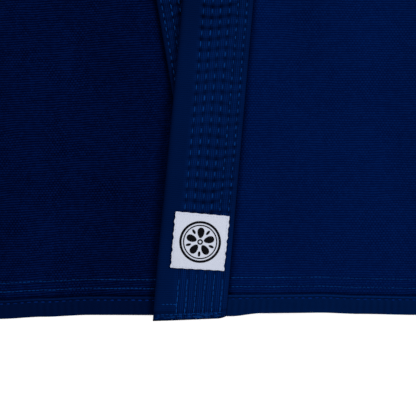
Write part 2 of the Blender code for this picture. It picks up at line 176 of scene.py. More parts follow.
def back_top(x):
    if abs(x) <= NECK_HALF:
        return NECK_SIDE - NECK_DIP * (1.0 - (x / NECK_HALF) ** 2)
    return mix(NECK_SIDE, SHOULDER_END, (abs(x) - NECK_HALF) / (CHEST_HALF - NECK_HALF))


for height in (0.0, 0.2, 0.5):
    print("upper lapel lies", round(over_base(over_seam_x(height), height) / MM, 1), "mm up at", height)

# %% [markdown]
# ## Creases, placed one by one
#
# Heavy cotton that is laid out by hand keeps a few long soft folds: from the armpits, across the
# elbows and over the belly. A noise texture would wrinkle the whole jacket alike, which no real one
# shows. So each crease is a row of a short table, with its two ends, its height and its width, and
# cloth near it is lifted by a smooth hump.

# %% Creases
# From (across, height) to (across, height), then rise and half width in millimetres
FRONT_CREASES = (
    ((0.262, 0.500), (0.150, 0.360), 6.0, 15), ((0.268, 0.470), (0.190, 0.300), 4.5, 13),
    ((0.270, 0.545), (0.130, 0.590), 5.0, 14), ((0.250, 0.700), (0.130, 0.640), 3.5, 17),
    ((0.268, 0.330), (0.130, 0.345), 4.0, 15), ((0.265, 0.300), (0.160, 0.270), 3.0, 13),
    ((0.225, 0.250), (0.262, 0.060), 3.5, 17), ((0.110, 0.520), (0.140, 0.400), 2.5, 16),
    ((-0.262, 0.500), (-0.140, 0.380), 5.5, 14), ((-0.266, 0.465), (-0.205, 0.290), 4.5, 14),
    ((-0.270, 0.550), (-0.120, 0.615), 5.0, 15), ((-0.245, 0.710), (-0.140, 0.660), 3.5, 16),
    ((-0.266, 0.345), (-0.110, 0.330), 4.0, 14), ((-0.262, 0.305), (-0.150, 0.285), 2.8, 13),
    ((-0.215, 0.240), (-0.258, 0.070), 3.5, 16), ((-0.110, 0.500), (-0.135, 0.410), 2.5, 17),
    ((0.120, 0.190), (0.142, 0.060), 0.5, 10), ((-0.095, 0.230), (-0.080, 0.090), 0.5, 9),
)
SLEEVE_CREASES = (
    ((0.315, 0.545), (0.430, 0.640), 8.0, 16), ((0.310, 0.590), (0.400, 0.690), 6.0, 14),
    ((0.350, 0.525), (0.470, 0.575), 5.0, 13), ((0.500, 0.530), (0.560, 0.690), 8.5, 17),
    ((0.545, 0.525), (0.600, 0.660), 7.0, 14), ((0.590, 0.540), (0.640, 0.620), 5.0, 13),
    ((0.480, 0.700), (0.540, 0.640), 5.0, 13), ((0.640, 0.675), (0.700, 0.560), 5.5, 14),
    ((0.690, 0.670), (0.735, 0.600), 4.0, 12), ((0.350, 0.725), (0.470, 0.715), 4.5, 12),
    ((0.700, 0.540), (0.755, 0.560), 3.5, 11),
)
# Shallow troughs in the undersides, which lie on the floor
BACK_TROUGHS = (
    ((-0.220, 0.460), (0.050, 0.400), 0.42, 13), ((0.240, 0.440), (0.060, 0.300), 0.42, 12),
    ((-0.100, 0.620), (0.160, 0.600), 0.38, 14), ((-0.240, 0.200), (-0.080, 0.240), 0.38, 12),
    ((0.220, 0.160), (0.100, 0.230), 0.35, 11), ((-0.200, 0.700), (-0.080, 0.650), 0.35, 12),
)
SLEEVE_TROUGHS = (
    ((0.330, 0.560), (0.420, 0.660), 0.9, 13), ((0.500, 0.550), (0.570, 0.670), 0.9, 14),
    ((0.560, 0.540), (0.620, 0.620), 0.8, 12), ((0.660, 0.660), (0.710, 0.580), 0.7, 11),
)
# How much painted highlight a crown gets and how much painted shade a foot gets for each millimetre, and
# how far off the foot is
CROWN_HIGHLIGHT, FOOT_SHADE, FOOT_STEP = 0.055, 0.050, 12.0 * MM
# A crease runs out over this share of its length, partly beyond its end
RUN_OUT, PAST_END = 0.6, 0.4


def crease_rise(creases, x, height):
    """How far the creases of a table lift the cloth at a spot."""
    rise = 0.0
    for (x0, y0), (x1, y1), high, wide in creases:
        along = (x1 - x0, y1 - y0)
        length = math.hypot(*along)
        t = ((x - x0) * along[0] + (height - y0) * along[1]) / length ** 2
        if not -PAST_END < t < 1.0 + PAST_END:
            continue
        away = ((x - x0) * along[1] - (height - y0) * along[0]) / length / (wide * MM)
        if abs(away) < 3.0:
            end = ease((t + PAST_END) / RUN_OUT) * ease((1.0 + PAST_END - t) / RUN_OUT)
            rise += high * MM * math.exp(-away * away) * end
    return rise


def crease_light_and_shade(creases, x, height):
    """A painted highlight on the crown of a crease, and painted shade at its foot on the lower left,
    where the light doesn't reach.
    """
    crown = crease_rise(creases, x, height)
    lit_side = crease_rise(creases, x + FOOT_STEP, height + 0.4 * FOOT_STEP)
    return CROWN_HIGHLIGHT * crown / MM - FOOT_SHADE * lit_side / MM


print("creases:", len(FRONT_CREASES), "on the fronts,", len(SLEEVE_CREASES), "on each sleeve")


# %% [markdown]
# ## Making cloth
#
# Real cloth is a flat sheet that takes the form of what it lies on. The solids could be subdivided to
# get there, but their triangles run the wrong way for folds. So a laid panel starts as a flat grid:
# each corner of the grid is put in its place by a rule, and the sheet is then extruded straight up by
# the thickness of the cloth. A folded piece, such as a hem tape, gets its thickness from a Solidify
# modifier instead, which follows the turn of the fold. A tube or a band is a grid too: its first and
# last columns meet, and merging them closes it.

# %% Grid helpers
def even_stops(first, last, count):
    return [mix(first, last, k / count) for k in range(count + 1)]


def placed_grid(across_stops, up_stops, place, painted_light_and_wear=None):
    """A grid with a corner at each pair of stops, put in place by one rule and given painted light and
    shade by another.
    """
    columns, rows = len(across_stops) - 1, len(up_stops) - 1
    shape = bmesh.new()
    bmesh.ops.create_grid(shape, x_segments=columns, y_segments=rows, size=0.5)
    lit_and_worn = shape.verts.layers.float.new("painted_light_and_wear")
    for vertex in shape.verts:
        across = across_stops[round((vertex.co.x + 0.5) * columns)]
        up = up_stops[round((vertex.co.y + 0.5) * rows)]
        vertex.co = place(across, up)
        if painted_light_and_wear:
            vertex[lit_and_worn] = painted_light_and_wear(across, up)
    return shape


def add_piece(name, shape, finish, node=None, smooth=40):
    """Makes a mesh object that rides on the jacket, and takes the place of a solid if one is named."""
    bmesh.ops.translate(shape, verts=shape.verts, vec=(0.0, -MIDDLE, 0.0))
    mesh = bpy.data.meshes.new(name)
    shape.to_mesh(mesh)
    shape.free()
    mesh.materials.append(finish)
    mesh.shade_smooth()
    mesh.set_sharp_from_angle(angle=math.radians(smooth))
    piece = bpy.data.objects.new(name, mesh)
    bpy.context.scene.collection.objects.link(piece)
    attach(piece, "root")
    if node:
        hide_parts(node)
    print(name, len(mesh.polygons), "faces")
    return piece


def raise_flat(shape, height):
    """Extrudes a level shape straight up, and closes it."""
    pulled = bmesh.ops.extrude_face_region(shape, geom=shape.faces[:])
    upper = [thing for thing in pulled["geom"] if isinstance(thing, bmesh.types.BMVert)]
    bmesh.ops.translate(shape, verts=upper, vec=(0.0, 0.0, height))
    bmesh.ops.recalc_face_normals(shape, faces=shape.faces)


def laid_cloth(name, shape, thickness, finish, node):
    """Cloth that lies level: a placed grid is its underside, and its face is straight above."""
    raise_flat(shape, thickness)
    return add_piece(name, shape, finish, node)


def folded_cloth(name, shape, thickness, finish, node, mirrored):
    """Cloth folded round an edge: its wall is added on the outer side of a placed grid."""
    if mirrored:
        bmesh.ops.reverse_faces(shape, faces=shape.faces)
    piece = add_piece(name, shape, finish, node)
    wall = piece.modifiers.new("wall", "SOLIDIFY")
    wall.thickness, wall.offset, wall.use_even_offset = thickness, 1.0, True
    return piece


print("stops of a grid of four columns:", even_stops(0, 1, 4))

# %% [markdown]
# ## Writing shader maths as Python
#
# Cloth is shaded by formulas: where a grain of the weave lies, how far a thread has faded. Wiring
# Math nodes by hand hides the formula, so a small class wraps a socket and lets Python's own operators
# add the nodes. Each finish then starts with one function, which sets its fixed values, and ends with
# another, which links its colour and its bump.

# %% Shader arithmetic
class Wire:
    """A node's output that takes part in arithmetic."""

    def __init__(self, tree, socket):
        self.tree, self.socket = tree, socket

    def maths(self, operation, *others):
        inputs = dict(enumerate((self,) + others))
        return add_node(self.tree, "ShaderNodeMath", {"operation": operation}, inputs)

    def clamped(self):
        return self.maths("MINIMUM", 1.0).maths("MAXIMUM", 0.0)

    def output(self, number):
        """Another output of the same node."""
        return Wire(self.tree, self.socket.node.outputs[number])

    def __add__(self, other):
        return self.maths("ADD", other)

    def __sub__(self, other):
        return self.maths("SUBTRACT", other)

    def __mul__(self, other):
        return self.maths("MULTIPLY", other)

    def __truediv__(self, other):
        return self.maths("DIVIDE", other)

    def __rsub__(self, other):
        return add_node(self.tree, "ShaderNodeMath", {"operation": "SUBTRACT"}, {0: other, 1: self})

    __radd__, __rmul__ = __add__, __mul__


def add_node(tree, kind, settings=None, inputs=None, output=0):
    """Every node is made here: its settings are set first, then its sockets are given or linked."""
    node = tree.nodes.new(kind)
    for key, value in (settings or {}).items():
        setattr(node, key, value)
    for key, value in (inputs or {}).items():
        if isinstance(value, Wire):
            tree.links.new(value.socket, node.inputs[key])
        else:
            node.inputs[key].default_value = value
    return Wire(tree, node.outputs[output])


print("a number may stand first in:", [name for name in vars(Wire) if name.startswith("__r")])


# %% Nodes that most finishes need
def object_place(tree):
    return add_node(tree, "ShaderNodeTexCoord", output=3)


def attribute(tree, name):
    return add_node(tree, "ShaderNodeAttribute", {"attribute_name": name}, output=2)


def noise(tree, spot, scale, detail):
    return add_node(tree, "ShaderNodeTexNoise", None, {"Vector": spot, "Scale": scale, "Detail": detail})


def blend_colours(tree, share, dark, light):
    """Mix of two colours by a share, which is kept between 0 and 1."""
    inputs = {0: share.clamped(), 6: (*dark, 1.0), 7: (*light, 1.0)}
    return add_node(tree, "ShaderNodeMix", {"data_type": "RGBA"}, inputs, output=2)


SHORT_NAMES = (object_place, attribute, noise, blend_colours)
print("nodes with a short name:", [maker.__name__ for maker in SHORT_NAMES])

# %% Start and end of a finish
SLOT_OF = {}
# Cotton has no gloss of its own, only a faint blue bloom where it is seen from the side
SPECULAR, SHEEN, SHEEN_TINT = 0.0, 0.02, (0.02, 0.20, 1.0)
# Painted shade and wear leave at least this share of a colour
DARKEST_SHADE_AND_WEAR = 0.12


def new_finish(name, slot, roughness, sheen=0.0, sheen_tint=(1.0, 1.0, 1.0)):
    """A material whose fixed values sit on the shader's own sockets."""
    finish = bpy.data.materials.new(name)
    finish.use_nodes = True
    shader = finish.node_tree.nodes["Principled BSDF"]
    shader.inputs["Roughness"].default_value = roughness
    shader.inputs["Specular IOR Level"].default_value = SPECULAR
    shader.inputs["Sheen Weight"].default_value = sheen
    shader.inputs["Sheen Roughness"].default_value = 0.5
    shader.inputs["Sheen Tint"].default_value = (*sheen_tint, 1.0)
    SLOT_OF[name] = slot
    return finish


def connect_finish(finish, colour, height, depth, strength=1.0, streaks=0.0):
    """Links a colour, which painted highlights, streaks and fraying lighten and painted shade darkens,
    and a bump.
    """
    tree = finish.node_tree
    shader = tree.nodes["Principled BSDF"]
    # The attribute paints highlights and shade into the colour, with a little real fraying
    shade = (attribute(tree, "painted_light_and_wear") + 1.0 + streaks).maths("MAXIMUM", DARKEST_SHADE_AND_WEAR)
    lit_and_worn = add_node(tree, "ShaderNodeVectorMath", {"operation": "SCALE"}, {0: colour, 3: shade})
    tree.links.new(lit_and_worn.socket, shader.inputs["Base Color"])
    bump = add_node(tree, "ShaderNodeBump", None,
                    {"Strength": strength, "Distance": depth, "Height": height})
    tree.links.new(bump.socket, shader.inputs["Normal"])


print("a full gloss is 0.5, and this cotton has", SPECULAR)

# %% [markdown]
# ## Pearl weave
#
# The panels and sleeves are woven in a pearl weave: rows of small raised grains, each row shifted by
# half a grain. The grains are far too many to model, so the material works them out from the place of
# a point on the cloth. Each row is 1.7 mm high and each grain 2.3 mm long. The same formula gives the
# bump and paints shade into the hollows between the grains and a highlight onto their tops.

# %% Pearl weave finish
GRAIN_LONG, GRAIN_HIGH = 2.30 * MM, 1.70 * MM
# How far the rows and the grains wander, in rows and grains
ROW_WANDER, GRAIN_WANDER = 1.6, 1.2


def split_place(tree, spot):
    x = add_node(tree, "ShaderNodeSeparateXYZ", None, {0: spot})
    return x, x.output(1)


def weave_place(tree, turn):
    """A place on level cloth whose weave is turned, with its two coordinates."""
    rotation = (0.0, 0.0, turn)
    spot = add_node(tree, "ShaderNodeMapping", None, {"Vector": object_place(tree), "Rotation": rotation})
    return (spot, *split_place(tree, spot))


def pearl_weave(name, dark, light, lined, turn):
    """The weave from a dark and a light blue; lined says how much its rows read as lines."""
    finish = new_finish(name, "pearl_weave", 0.9, SHEEN, SHEEN_TINT)
    tree = finish.node_tree
    spot, x, y = weave_place(tree, turn)
    wander = noise(tree, spot, 40.0, 3.0)
    row_place = y / GRAIN_HIGH + wander * ROW_WANDER
    row = row_place.maths("FLOOR")
    grain_place = x / GRAIN_LONG + row.maths("MODULO", 2.0) * 0.5 + wander * GRAIN_WANDER
    cell = add_node(tree, "ShaderNodeCombineXYZ", None, {0: grain_place.maths("FLOOR"), 1: row})
    luck = add_node(tree, "ShaderNodeTexWhiteNoise", {"noise_dimensions": "2D"}, {"Vector": cell})
    row_wave = ((row_place - row - 0.5) * math.pi).maths("COSINE")
    grain_wave = ((grain_place.maths("FRACT") - 0.5) * math.pi).maths("COSINE")
    patches = noise(tree, spot, 50.0, 3.0)
    dotted = (patches * 3.0 - 1.0 - lined).maths("MAXIMUM", 0.1).maths("MINIMUM", 0.9)
    grain = row_wave * (grain_wave * dotted + (1.0 - dotted))
    fuzz, cloud = noise(tree, spot, 900.0, 3.0), noise(tree, spot, 18.0, 4.0)
    # The grains' relief also sets the colour: painted shade in the hollows and a painted highlight on the
    # tops
    share = grain * 0.95 + dotted * 0.18 + luck * 0.30 + fuzz * 0.5 + cloud * 0.4 - 0.79
    colour = blend_colours(tree, share, dark, light)
    connect_finish(finish, colour, grain + fuzz * 0.25, 0.45 * MM, 0.8)
    return finish


LEFT_WEAVE = pearl_weave(
    "pearl weave left", (0.0001, 0.0030, 0.0280), (0.0003, 0.0083, 0.0620), 0.0, 0.0)
# A darker copy of the same weave for the right front and sleeve: painted shade for the darker look that
# side has under the lamp
SHADED_RIGHT_WEAVE = pearl_weave(
    "pearl weave right", (0.0001, 0.0008, 0.0082), (0.0003, 0.0057, 0.0470), 0.15, -0.05)
BACK_WEAVE = pearl_weave(
    "pearl weave back", (0.0001, 0.0012, 0.0130), (0.0004, 0.0078, 0.0600), 0.1, 0.0)
print("woven finishes:", sorted(SLOT_OF))

# %% [markdown]
# ## Lapel cloth, tape, thread and patch
#
# The lapel is wrapped in a smooth cotton with very fine ribs across it. Object coordinates would draw
# the ribs straight through the fold at the neck, so this pattern reads the band's own UV map, which
# holds real lengths in metres. The hem tape is smoother still. The thread is a lighter blue, and the
# patch is a fine bluish white weave.

# %% Lapel and tape finishes
STREAK_PITCH = 1.35 * MM


def ribbed_cloth(name, slot, dark, light, rib, depth, from_uv):
    """Smooth cloth with fine ribs across it, and streaks along it where it is drawn in by sewing."""
    finish = new_finish(name, slot, 0.85, SHEEN, SHEEN_TINT)
    tree = finish.node_tree
    spot = object_place(tree).output(2) if from_uv else object_place(tree)
    across, along = split_place(tree, spot)
    wander = noise(tree, spot, 90.0, 2.0)
    ribs = ((along / rib + wander * 0.8) * (2.0 * math.pi)).maths("SINE") * 0.5 + 0.5
    streaks = ((across / STREAK_PITCH + wander * 1.2) * (2.0 * math.pi)).maths("SINE")
    streaks = streaks * attribute(tree, "sewn")
    fuzz, cloud = noise(tree, spot, 1600.0, 3.0), noise(tree, spot, 30.0, 4.0)
    share = ribs * 0.42 + streaks * 0.40 + fuzz * 0.6 + cloud * 0.7 - 0.39
    colour = blend_colours(tree, share, dark, light)
    connect_finish(finish, colour, ribs * 0.6 + streaks * 0.5 + fuzz * 0.4, depth, 0.7, streaks * 0.26)
    return finish


LAPEL_CLOTH = ribbed_cloth("lapel cloth", "lapel_cloth", (0.0001, 0.0035, 0.0230),
                           (0.0003, 0.0066, 0.0440), 1.45 * MM, 0.20 * MM, True)
TAPE_LEFT = ribbed_cloth("hem tape left", "hem_tape", (0.0001, 0.0045, 0.0285),
                         (0.0003, 0.0078, 0.0470), 0.60 * MM, 0.10 * MM, False)
# A darker copy of the same tape for the right front, which the back shares: painted shade as on the right
# front's weave
SHADED_TAPE = ribbed_cloth("hem tape right", "hem_tape", (0.0001, 0.0024, 0.0170),
                          (0.0003, 0.0046, 0.0300), 0.60 * MM, 0.10 * MM, False)
print("finishes of the slot hem_tape:", [name for name in SLOT_OF if SLOT_OF[name] == "hem_tape"])


# %% Thread finishes
def twisted_thread(name, slot, dark, light):
    """Thread with a fine twist, which has paled more in one stretch than in the next."""
    finish = new_finish(name, slot, 0.6)
    tree = finish.node_tree
    spot = object_place(tree)
    twist = add_node(tree, "ShaderNodeTexWave", {"bands_direction": "DIAGONAL"},
                     {"Vector": spot, "Scale": 900.0, "Distortion": 1.0}, output=1)
    share = twist * 0.35 + noise(tree, spot, 70.0, 3.0) * 1.6 - 0.45
    colour = blend_colours(tree, share, dark, light)
    connect_finish(finish, colour, twist, 0.05 * MM, 0.5)
    return finish


THREAD = twisted_thread("lapel thread", "lapel_cloth", (0.0006, 0.012, 0.070), (0.0016, 0.032, 0.160))
HEM_THREAD = twisted_thread("hem thread", "hem_tape", (0.0004, 0.008, 0.050), (0.0013, 0.030, 0.150))
TAPE_THREAD = twisted_thread("tape thread", "hem_tape", (0.0003, 0.0070, 0.052), (0.0006, 0.0150, 0.125))
WHITE_THREAD = twisted_thread("white thread", "woven_patch", (0.36, 0.39, 0.50), (0.56, 0.60, 0.71))
print("threads:", [name for name in SLOT_OF if "thread" in name])

# %% Patch finishes
# Distance between the threads of the patch, along it and across it
WARP_PITCH, WEFT_PITCH = 0.55 * MM, 0.45 * MM


def patch_weave(name, dark, light):
    """A close plain weave of warp and weft, turned as the lapel leans."""
    finish = new_finish(name, "woven_patch", 0.7)
    tree = finish.node_tree
    spot, x, y = weave_place(tree, -math.atan(OVER_LEAN))
    warp = (x * (2.0 * math.pi / WARP_PITCH)).maths("SINE")
    weft = (y * (2.0 * math.pi / WEFT_PITCH)).maths("SINE")
    weave = warp * weft * 0.5 + 0.5
    fuzz = noise(tree, spot, 500.0, 4.0)
    colour = blend_colours(tree, weave * 0.4 + fuzz * 0.8 - 0.05, dark, light)
    connect_finish(finish, colour, weave + fuzz * 0.5, 0.10 * MM, 0.6)
    return finish


PATCH_WHITE = patch_weave("patch white", (0.43, 0.46, 0.56), (0.52, 0.55, 0.64))
PATCH_BLACK = patch_weave("patch black", (0.0015, 0.0015, 0.0020), (0.006, 0.006, 0.008))
print("finishes in all:", len(SLOT_OF))

# %% [markdown]
# ## Back and fronts
#
# The fronts lie over the back with the left one on top. Each could be cut out of a large grid with its
# outline, but the rows of the grid would then run off at the slanted seam and the shoulder. So a grid
# runs from the lapel's seam to the side of the jacket and from the hem to the shoulder. Near the side
# seam and the shoulder it comes down to the back, and near the neck all the cloth rises to the fold of
# the lapel band.

# %% Hems and shoulders of the panels
# Rows of hem stitches, as distances up the panel from its own edge
TAPE_ROW, LOW_ROW, HIGH_ROW = 10.0 * MM - HEM_EDGE, 18.3 * MM - HEM_EDGE, 24.6 * MM - HEM_EDGE
HEM_SEWN_TO, GROOVE_DEPTH = 0.03, 0.22 * MM
# How far up the wave of the hem reaches
HEM_REACH = 0.200


def dent(distance, wide):
    """A smooth dip: 1 at no distance, and near 0 beyond twice its width."""
    return math.exp(-(distance / wide) ** 2)


def hem_groove(row):
    """How much of a groove the hem's stitches pull in the cloth at a distance up the panel."""
    if row > HEM_SEWN_TO:
        return 0.0
    return max(dent(row - place, 0.9 * MM) for place in (TAPE_ROW, LOW_ROW, HIGH_ROW))


def raised(row, top):
    """Stretches the upper half of a panel, so that a row at the neck's height reaches its top."""
    return row + (top - NECK_SIDE) * ease((row - 0.5 * NECK_SIDE) / (0.5 * NECK_SIDE))


print("rows of hem stitches at", [round(row / MM, 1) for row in (TAPE_ROW, LOW_ROW, HIGH_ROW)], "mm")

# %% Fronts
# The side seam closes above its slit and ends at the armpit, each over a height
SEAM_RAMP, ARMPIT_RAMP = 0.050, 0.030
# From these shares of its width and height on, a front comes down to the back
SIDE_FROM, SHOULDER_FROM = 0.93, 0.96
# Beside the lapel only the lower edge of the left hem dips, up to this distance across
SETTLED_FROM = 0.050


def front_spot(across, row, side):
    """A place on the underside of a front, by its share of the width and its distance up."""
    seam = over_seam_x if side > 0 else under_seam_x
    height = raised(row, mix(NECK_SIDE - GAP, SHOULDER_END, across))
    seam_share = ease((height - VENT) / SEAM_RAMP)
    outer = side * (side_x(height) - VENT_INSET * (1.0 - seam_share))
    reach = mix(seam(height), outer, across)
    settled = hem_line(max(reach, SETTLED_FROM)) if side > 0 else hem_line(reach)
    edge = mix(hem_line(reach), settled, ease(row / TAPE_OUTSIDE)) + HEM_EDGE
    edge *= 1.0 - ease(height / HEM_REACH)
    x = mix(seam(height + edge) + side * GAP, outer, across)
    base = over_base(x, height) if side > 0 else layer(ON_BACK, height)
    at_side = ease((across - SIDE_FROM) / (1.0 - SIDE_FROM)) * seam_share
    at_side *= ease((ARMPIT - height) / ARMPIT_RAMP)
    at_shoulder = ease((row / NECK_SIDE - SHOULDER_FROM) / (1.0 - SHOULDER_FROM))
    held = max(at_side, at_shoulder)
    lift = crease_rise(FRONT_CREASES, x, height) * (1.0 - held) * ease(across / 0.05)
    lift *= ease((height + 0.01) / 0.03) * ease((0.995 - across) / 0.02)
    lift -= GROOVE_DEPTH * hem_groove(row)
    base = mix(base, PANEL + GAP, held)
    return Vector((x, height + edge, base + neck_rise(x, height) + lift))


def front_light_and_tone(across, row, side):
    """Painted shade beside the lapel's seam, in the hem's grooves and above the tape's edge, painted
    light on the creases, a slightly lighter hem and slow changes of tone.
    """
    # Painted shade along the lapel's seam, and a painted shadow of the tape's upper edge on the panel
    # above it
    seam_shade = -0.50 * dent(across * CHEST_HALF - 0.5 * MM, 2.3 * MM)
    tape_shadow = -0.60 * dent(row - TAPE_OUTSIDE - 1.2 * MM, 1.1 * MM)
    # Painted shade in the grooves of the hem's stitches
    hem = -0.22 * hem_groove(row) + 0.05 * ease((0.035 - row) / 0.01)
    slow = 0.05 * math.sin(across * 19.0 + 2.0 * math.sin(row * 9.0))
    spot = front_spot(across, row, side)
    # Painted highlights and shade of the creases
    crease_shading = crease_light_and_shade(FRONT_CREASES, spot.x, spot.y)
    return seam_shade + tape_shadow + hem + slow + crease_shading


print("left front meets its side seam at", [round(c, 4) for c in front_spot(1.0, 0.0, 1)])

# %% Back
# The back reaches this far under the band along its neckline
NECK_TUCK = 0.55 * MM


def back_spot(across, row):
    """A place on the underside of the back, by its share of the width and its distance up."""
    share = 2.0 * across - 1.0
    reach = NECK_TUCK if abs(share * CHEST_HALF) < NECK_HALF else 0.0
    height = raised(row, back_top(share * CHEST_HALF) + reach)
    x = share * side_x(height)
    edge = (HEM_EDGE + BACK_LIFT) * (1.0 - ease(height / HEM_REACH))
    trough = crease_rise(BACK_TROUGHS, x, height) * ease(height / 0.1)
    return Vector((x, height + edge, back_base(x, height) + trough))


def back_trough_shade(across, row):
    spot = back_spot(across, row)
    # Painted shade in the troughs of the back
    return -0.75 * crease_rise(BACK_TROUGHS, spot.x, spot.y) / MM


print("back meets the neck at", [round(c, 4) for c in back_spot(0.5, NECK_SIDE)])

# %% Lay the panels
# The stops are close at the lapel's seam and in the hem, where the photograph shows most
FRONT_ACROSS = [(k / 84) ** 1.3 for k in range(85)]
FRONT_UP = even_stops(0.0, HEM_SEWN_TO, 40) + even_stops(HEM_SEWN_TO, NECK_SIDE, 190)[1:]


def left_spot(across, row):
    return front_spot(across, row, 1)


def right_spot(across, row):
    return front_spot(across, row, -1)


def lay_front(node, spot, side, finish):
    shape = placed_grid(FRONT_ACROSS, FRONT_UP, spot, lambda across, row: front_light_and_tone(across, row, side))
    return laid_cloth(node + "_cloth", shape, PANEL, finish, node)


back = laid_cloth(
    "back_cloth",
    placed_grid(even_stops(0, 1, 120), even_stops(0, NECK_SIDE, 150), back_spot, back_trough_shade),
    PANEL, BACK_WEAVE, "back")
front_left = lay_front("front_left", left_spot, 1, LEFT_WEAVE)
front_right = lay_front("front_right", right_spot, -1, SHADED_RIGHT_WEAVE)

# %% [markdown]
# ## Hem tapes
#
# A smooth cotton tape is folded over each hem, with a short leg outside and a long leg inside. A flat
# strip on top would do for the photograph, but the folded edge shows from the side and from below. So
# the tape's path is a short list of steps round the edge of the panel, each a distance up the panel and
# a height above the panel's underside. The tape's upper edge has a small roll, which catches the light
# and has a painted highlight, with painted shade just below it.

# %% Hem tapes
# Distance between stitches, how much a pucker lifts the tape and how much painted light and shade it
# gives it, and the stops along it
TAPE_PITCH, PUCKER_LIFT, PUCKER_SHADING, TAPE_STOP = 4.9 * MM, 0.10 * MM, 0.14, 1.2 * MM


def tape_path(lower_leg, upper_leg):
    """Steps round the hem: (distance up the panel, height above its underside, painted light and shade).
    """
    above = PANEL + GAP
    path = [(lower_leg * k / 4, -GAP, 0.0) for k in range(4, -1, -1)]
    path += [(-0.90 * MM, 0.0, 0.0), (-1.15 * MM, 0.35 * MM, -0.1), (-1.15 * MM, 1.25 * MM, 0.05),
             (-0.90 * MM, 1.6 * MM, 0.1), (0.0, above, 0.05)]
    path += [(upper_leg * share, above, 0.0) for share in (0.15, 0.3, 0.45, 0.6, 0.7)]
    # The roll near the upper edge gets a painted highlight, with painted shade just below it
    path += [(upper_leg - 2.4 * MM, above - 0.15 * MM, -0.04), (upper_leg - 1.7 * MM, above, -0.30),
             (upper_leg - 1.0 * MM, above, -0.50), (upper_leg - 0.5 * MM, above + 0.25 * MM, 1.10),
             (upper_leg, above, -0.20)]
    return path


def hem_tape(node, spot, lower_leg, upper_leg, finish, mirrored=False, seam_tuck=0.0):
    """A tape along a panel's hem; with a seam tuck, it starts a little under the lapel."""
    path = tape_path(lower_leg, upper_leg)
    length = (spot(1.0, 0.0) - spot(0.0, 0.0)).length

    def pucker(across):
        along = across * length / TAPE_PITCH
        return math.sin(2.0 * math.pi * along) * (0.6 + 0.4 * math.sin(along * 0.37 + math.sin(along)))

    def place(across, step):
        across = mix(seam_tuck, 1.0, across)
        along, lift, _ = path[round(step)]
        loose = ease(along / (4 * MM)) * ease((upper_leg - along) / (2 * MM)) if lift > 0 else 0.0
        return spot(across, max(along, 0.0)) + Vector(
            (0.0, min(along, 0.0), lift + PUCKER_LIFT * loose * (1.0 + pucker(across))))

    # Painted light on the tape: from its path, and lighter and darker in step with the puckers
    def painted_light_and_wear(across, step):
        return path[round(step)][2] + PUCKER_SHADING * pucker(across)

    steps = len(path) - 1
    across_stops = even_stops(0, 1, round(length / TAPE_STOP))
    shape = placed_grid(across_stops, even_stops(0, steps, steps), place, painted_light_and_wear)
    return folded_cloth(node + "_cloth", shape, TAPE, finish, node, mirrored)


tape_left = hem_tape("hem_tape_front_left", left_spot, TAPE_INSIDE, TAPE_OUTSIDE, TAPE_LEFT,
                     seam_tuck=-0.002)
tape_right = hem_tape("hem_tape_front_right", right_spot, TAPE_INSIDE, TAPE_OUTSIDE, SHADED_TAPE,
                      mirrored=True)
tape_back = hem_tape("hem_tape_back", back_spot, TAPE_OUTSIDE, TAPE_INSIDE, SHADED_TAPE)

# %% [markdown]
# ## The lapel band
#
# The lapel is one thick band that is sewn to both fronts and round the neck. Six rows of stitches pull
# it down into furrows, and between two stitches the cloth puckers across the rows. A flat texture
# can't give those shadows, so the band is a fine tube of rings. Each ring is a rounded section with a
# furrow at each row, and its height changes along the band in step with the stitches.

# %% Section of the band
# Distance between stitches in most rows, in the two beside the seam, and on the lower lapel
LONG_STITCH, SHORT_STITCH, UNDER_STITCH = 7.67 * MM, 5.77 * MM, 5.1 * MM
ROW_PLACES = [FIRST_ROW + k * ROW_PITCH for k in range(ROWS)]
PITCH_OF_ROW = [SHORT_STITCH] * 2 + [LONG_STITCH] * 4
# The rows keep in step along a slanted line that starts at this distance along the band
STITCH_START, STITCH_SLANT = 0.1205, 0.10
# From this distance along, the band is sewn as the lower lapel is
UNDER_FROM = 1.0
# Distance of the turned-in end from the foot, and the rounding of both edges
END_FOLD, EDGE_RADIUS = 5.7 * MM, 2.0 * MM
# Depth of a row's furrow, of a pucker and of the groove at the turned-in end
ROW_DEPTH, PUCKER_DEPTH, FOLD_DEPTH = 0.40 * MM, 0.70 * MM, 0.35 * MM


def section_places():
    """How far in from the seam edge each point of the outer face lies."""
    edge = [0.0, 0.35 * MM, 1.0 * MM, 2.0 * MM, 3.0 * MM]
    rows = []
    for place in ROW_PLACES:
        rows += [place - 1.0 * MM, place - 0.4 * MM, place + 0.4 * MM, place + 1.0 * MM]
        rows += [place + 2.2 * MM, place + 3.4 * MM]
    plain = [41.0 * MM, 43.5 * MM, 45.5 * MM, 47.5 * MM, 48.9 * MM, 49.7 * MM, 50.0 * MM]
    return edge + rows + plain


def pucker_at(across, along, pitch):
    """A pucker half way between two stitches of a row, on a slightly bent line across the band."""
    bend = 0.9 * MM * math.sin(across * 230.0 + along * 37.0)
    phase = (along - STITCH_START + STITCH_SLANT * across + bend) / pitch - 0.5
    return math.cos(math.pi * (phase - round(phase))) ** 5


def quilt(across, along):
    """The puckers between stitches: how deep the cloth is drawn in at a spot, from 0 to 1."""
    quilted = ease((across - 1.5 * MM) / (2.5 * MM)) * ease((38.0 * MM - across) / (3.0 * MM))
    outer = ease((14.0 * MM - across) / (5.0 * MM))
    wide, close = pucker_at(across, along, LONG_STITCH), pucker_at(across, along, SHORT_STITCH)
    pucker = mix(wide, 0.45 * wide + 0.45 * close, outer)
    slow = 0.80 + 0.20 * math.sin(along * 61.0 + 2.0 * math.sin(along * 23.0) + across * 90.0)
    return quilted * pucker * slow * ease((along - 0.028) / 0.02)


def row_dip(across):
    """1 in a row of stitches and 0 between the rows."""
    return max(dent(across - place, 0.8 * MM) for place in ROW_PLACES)


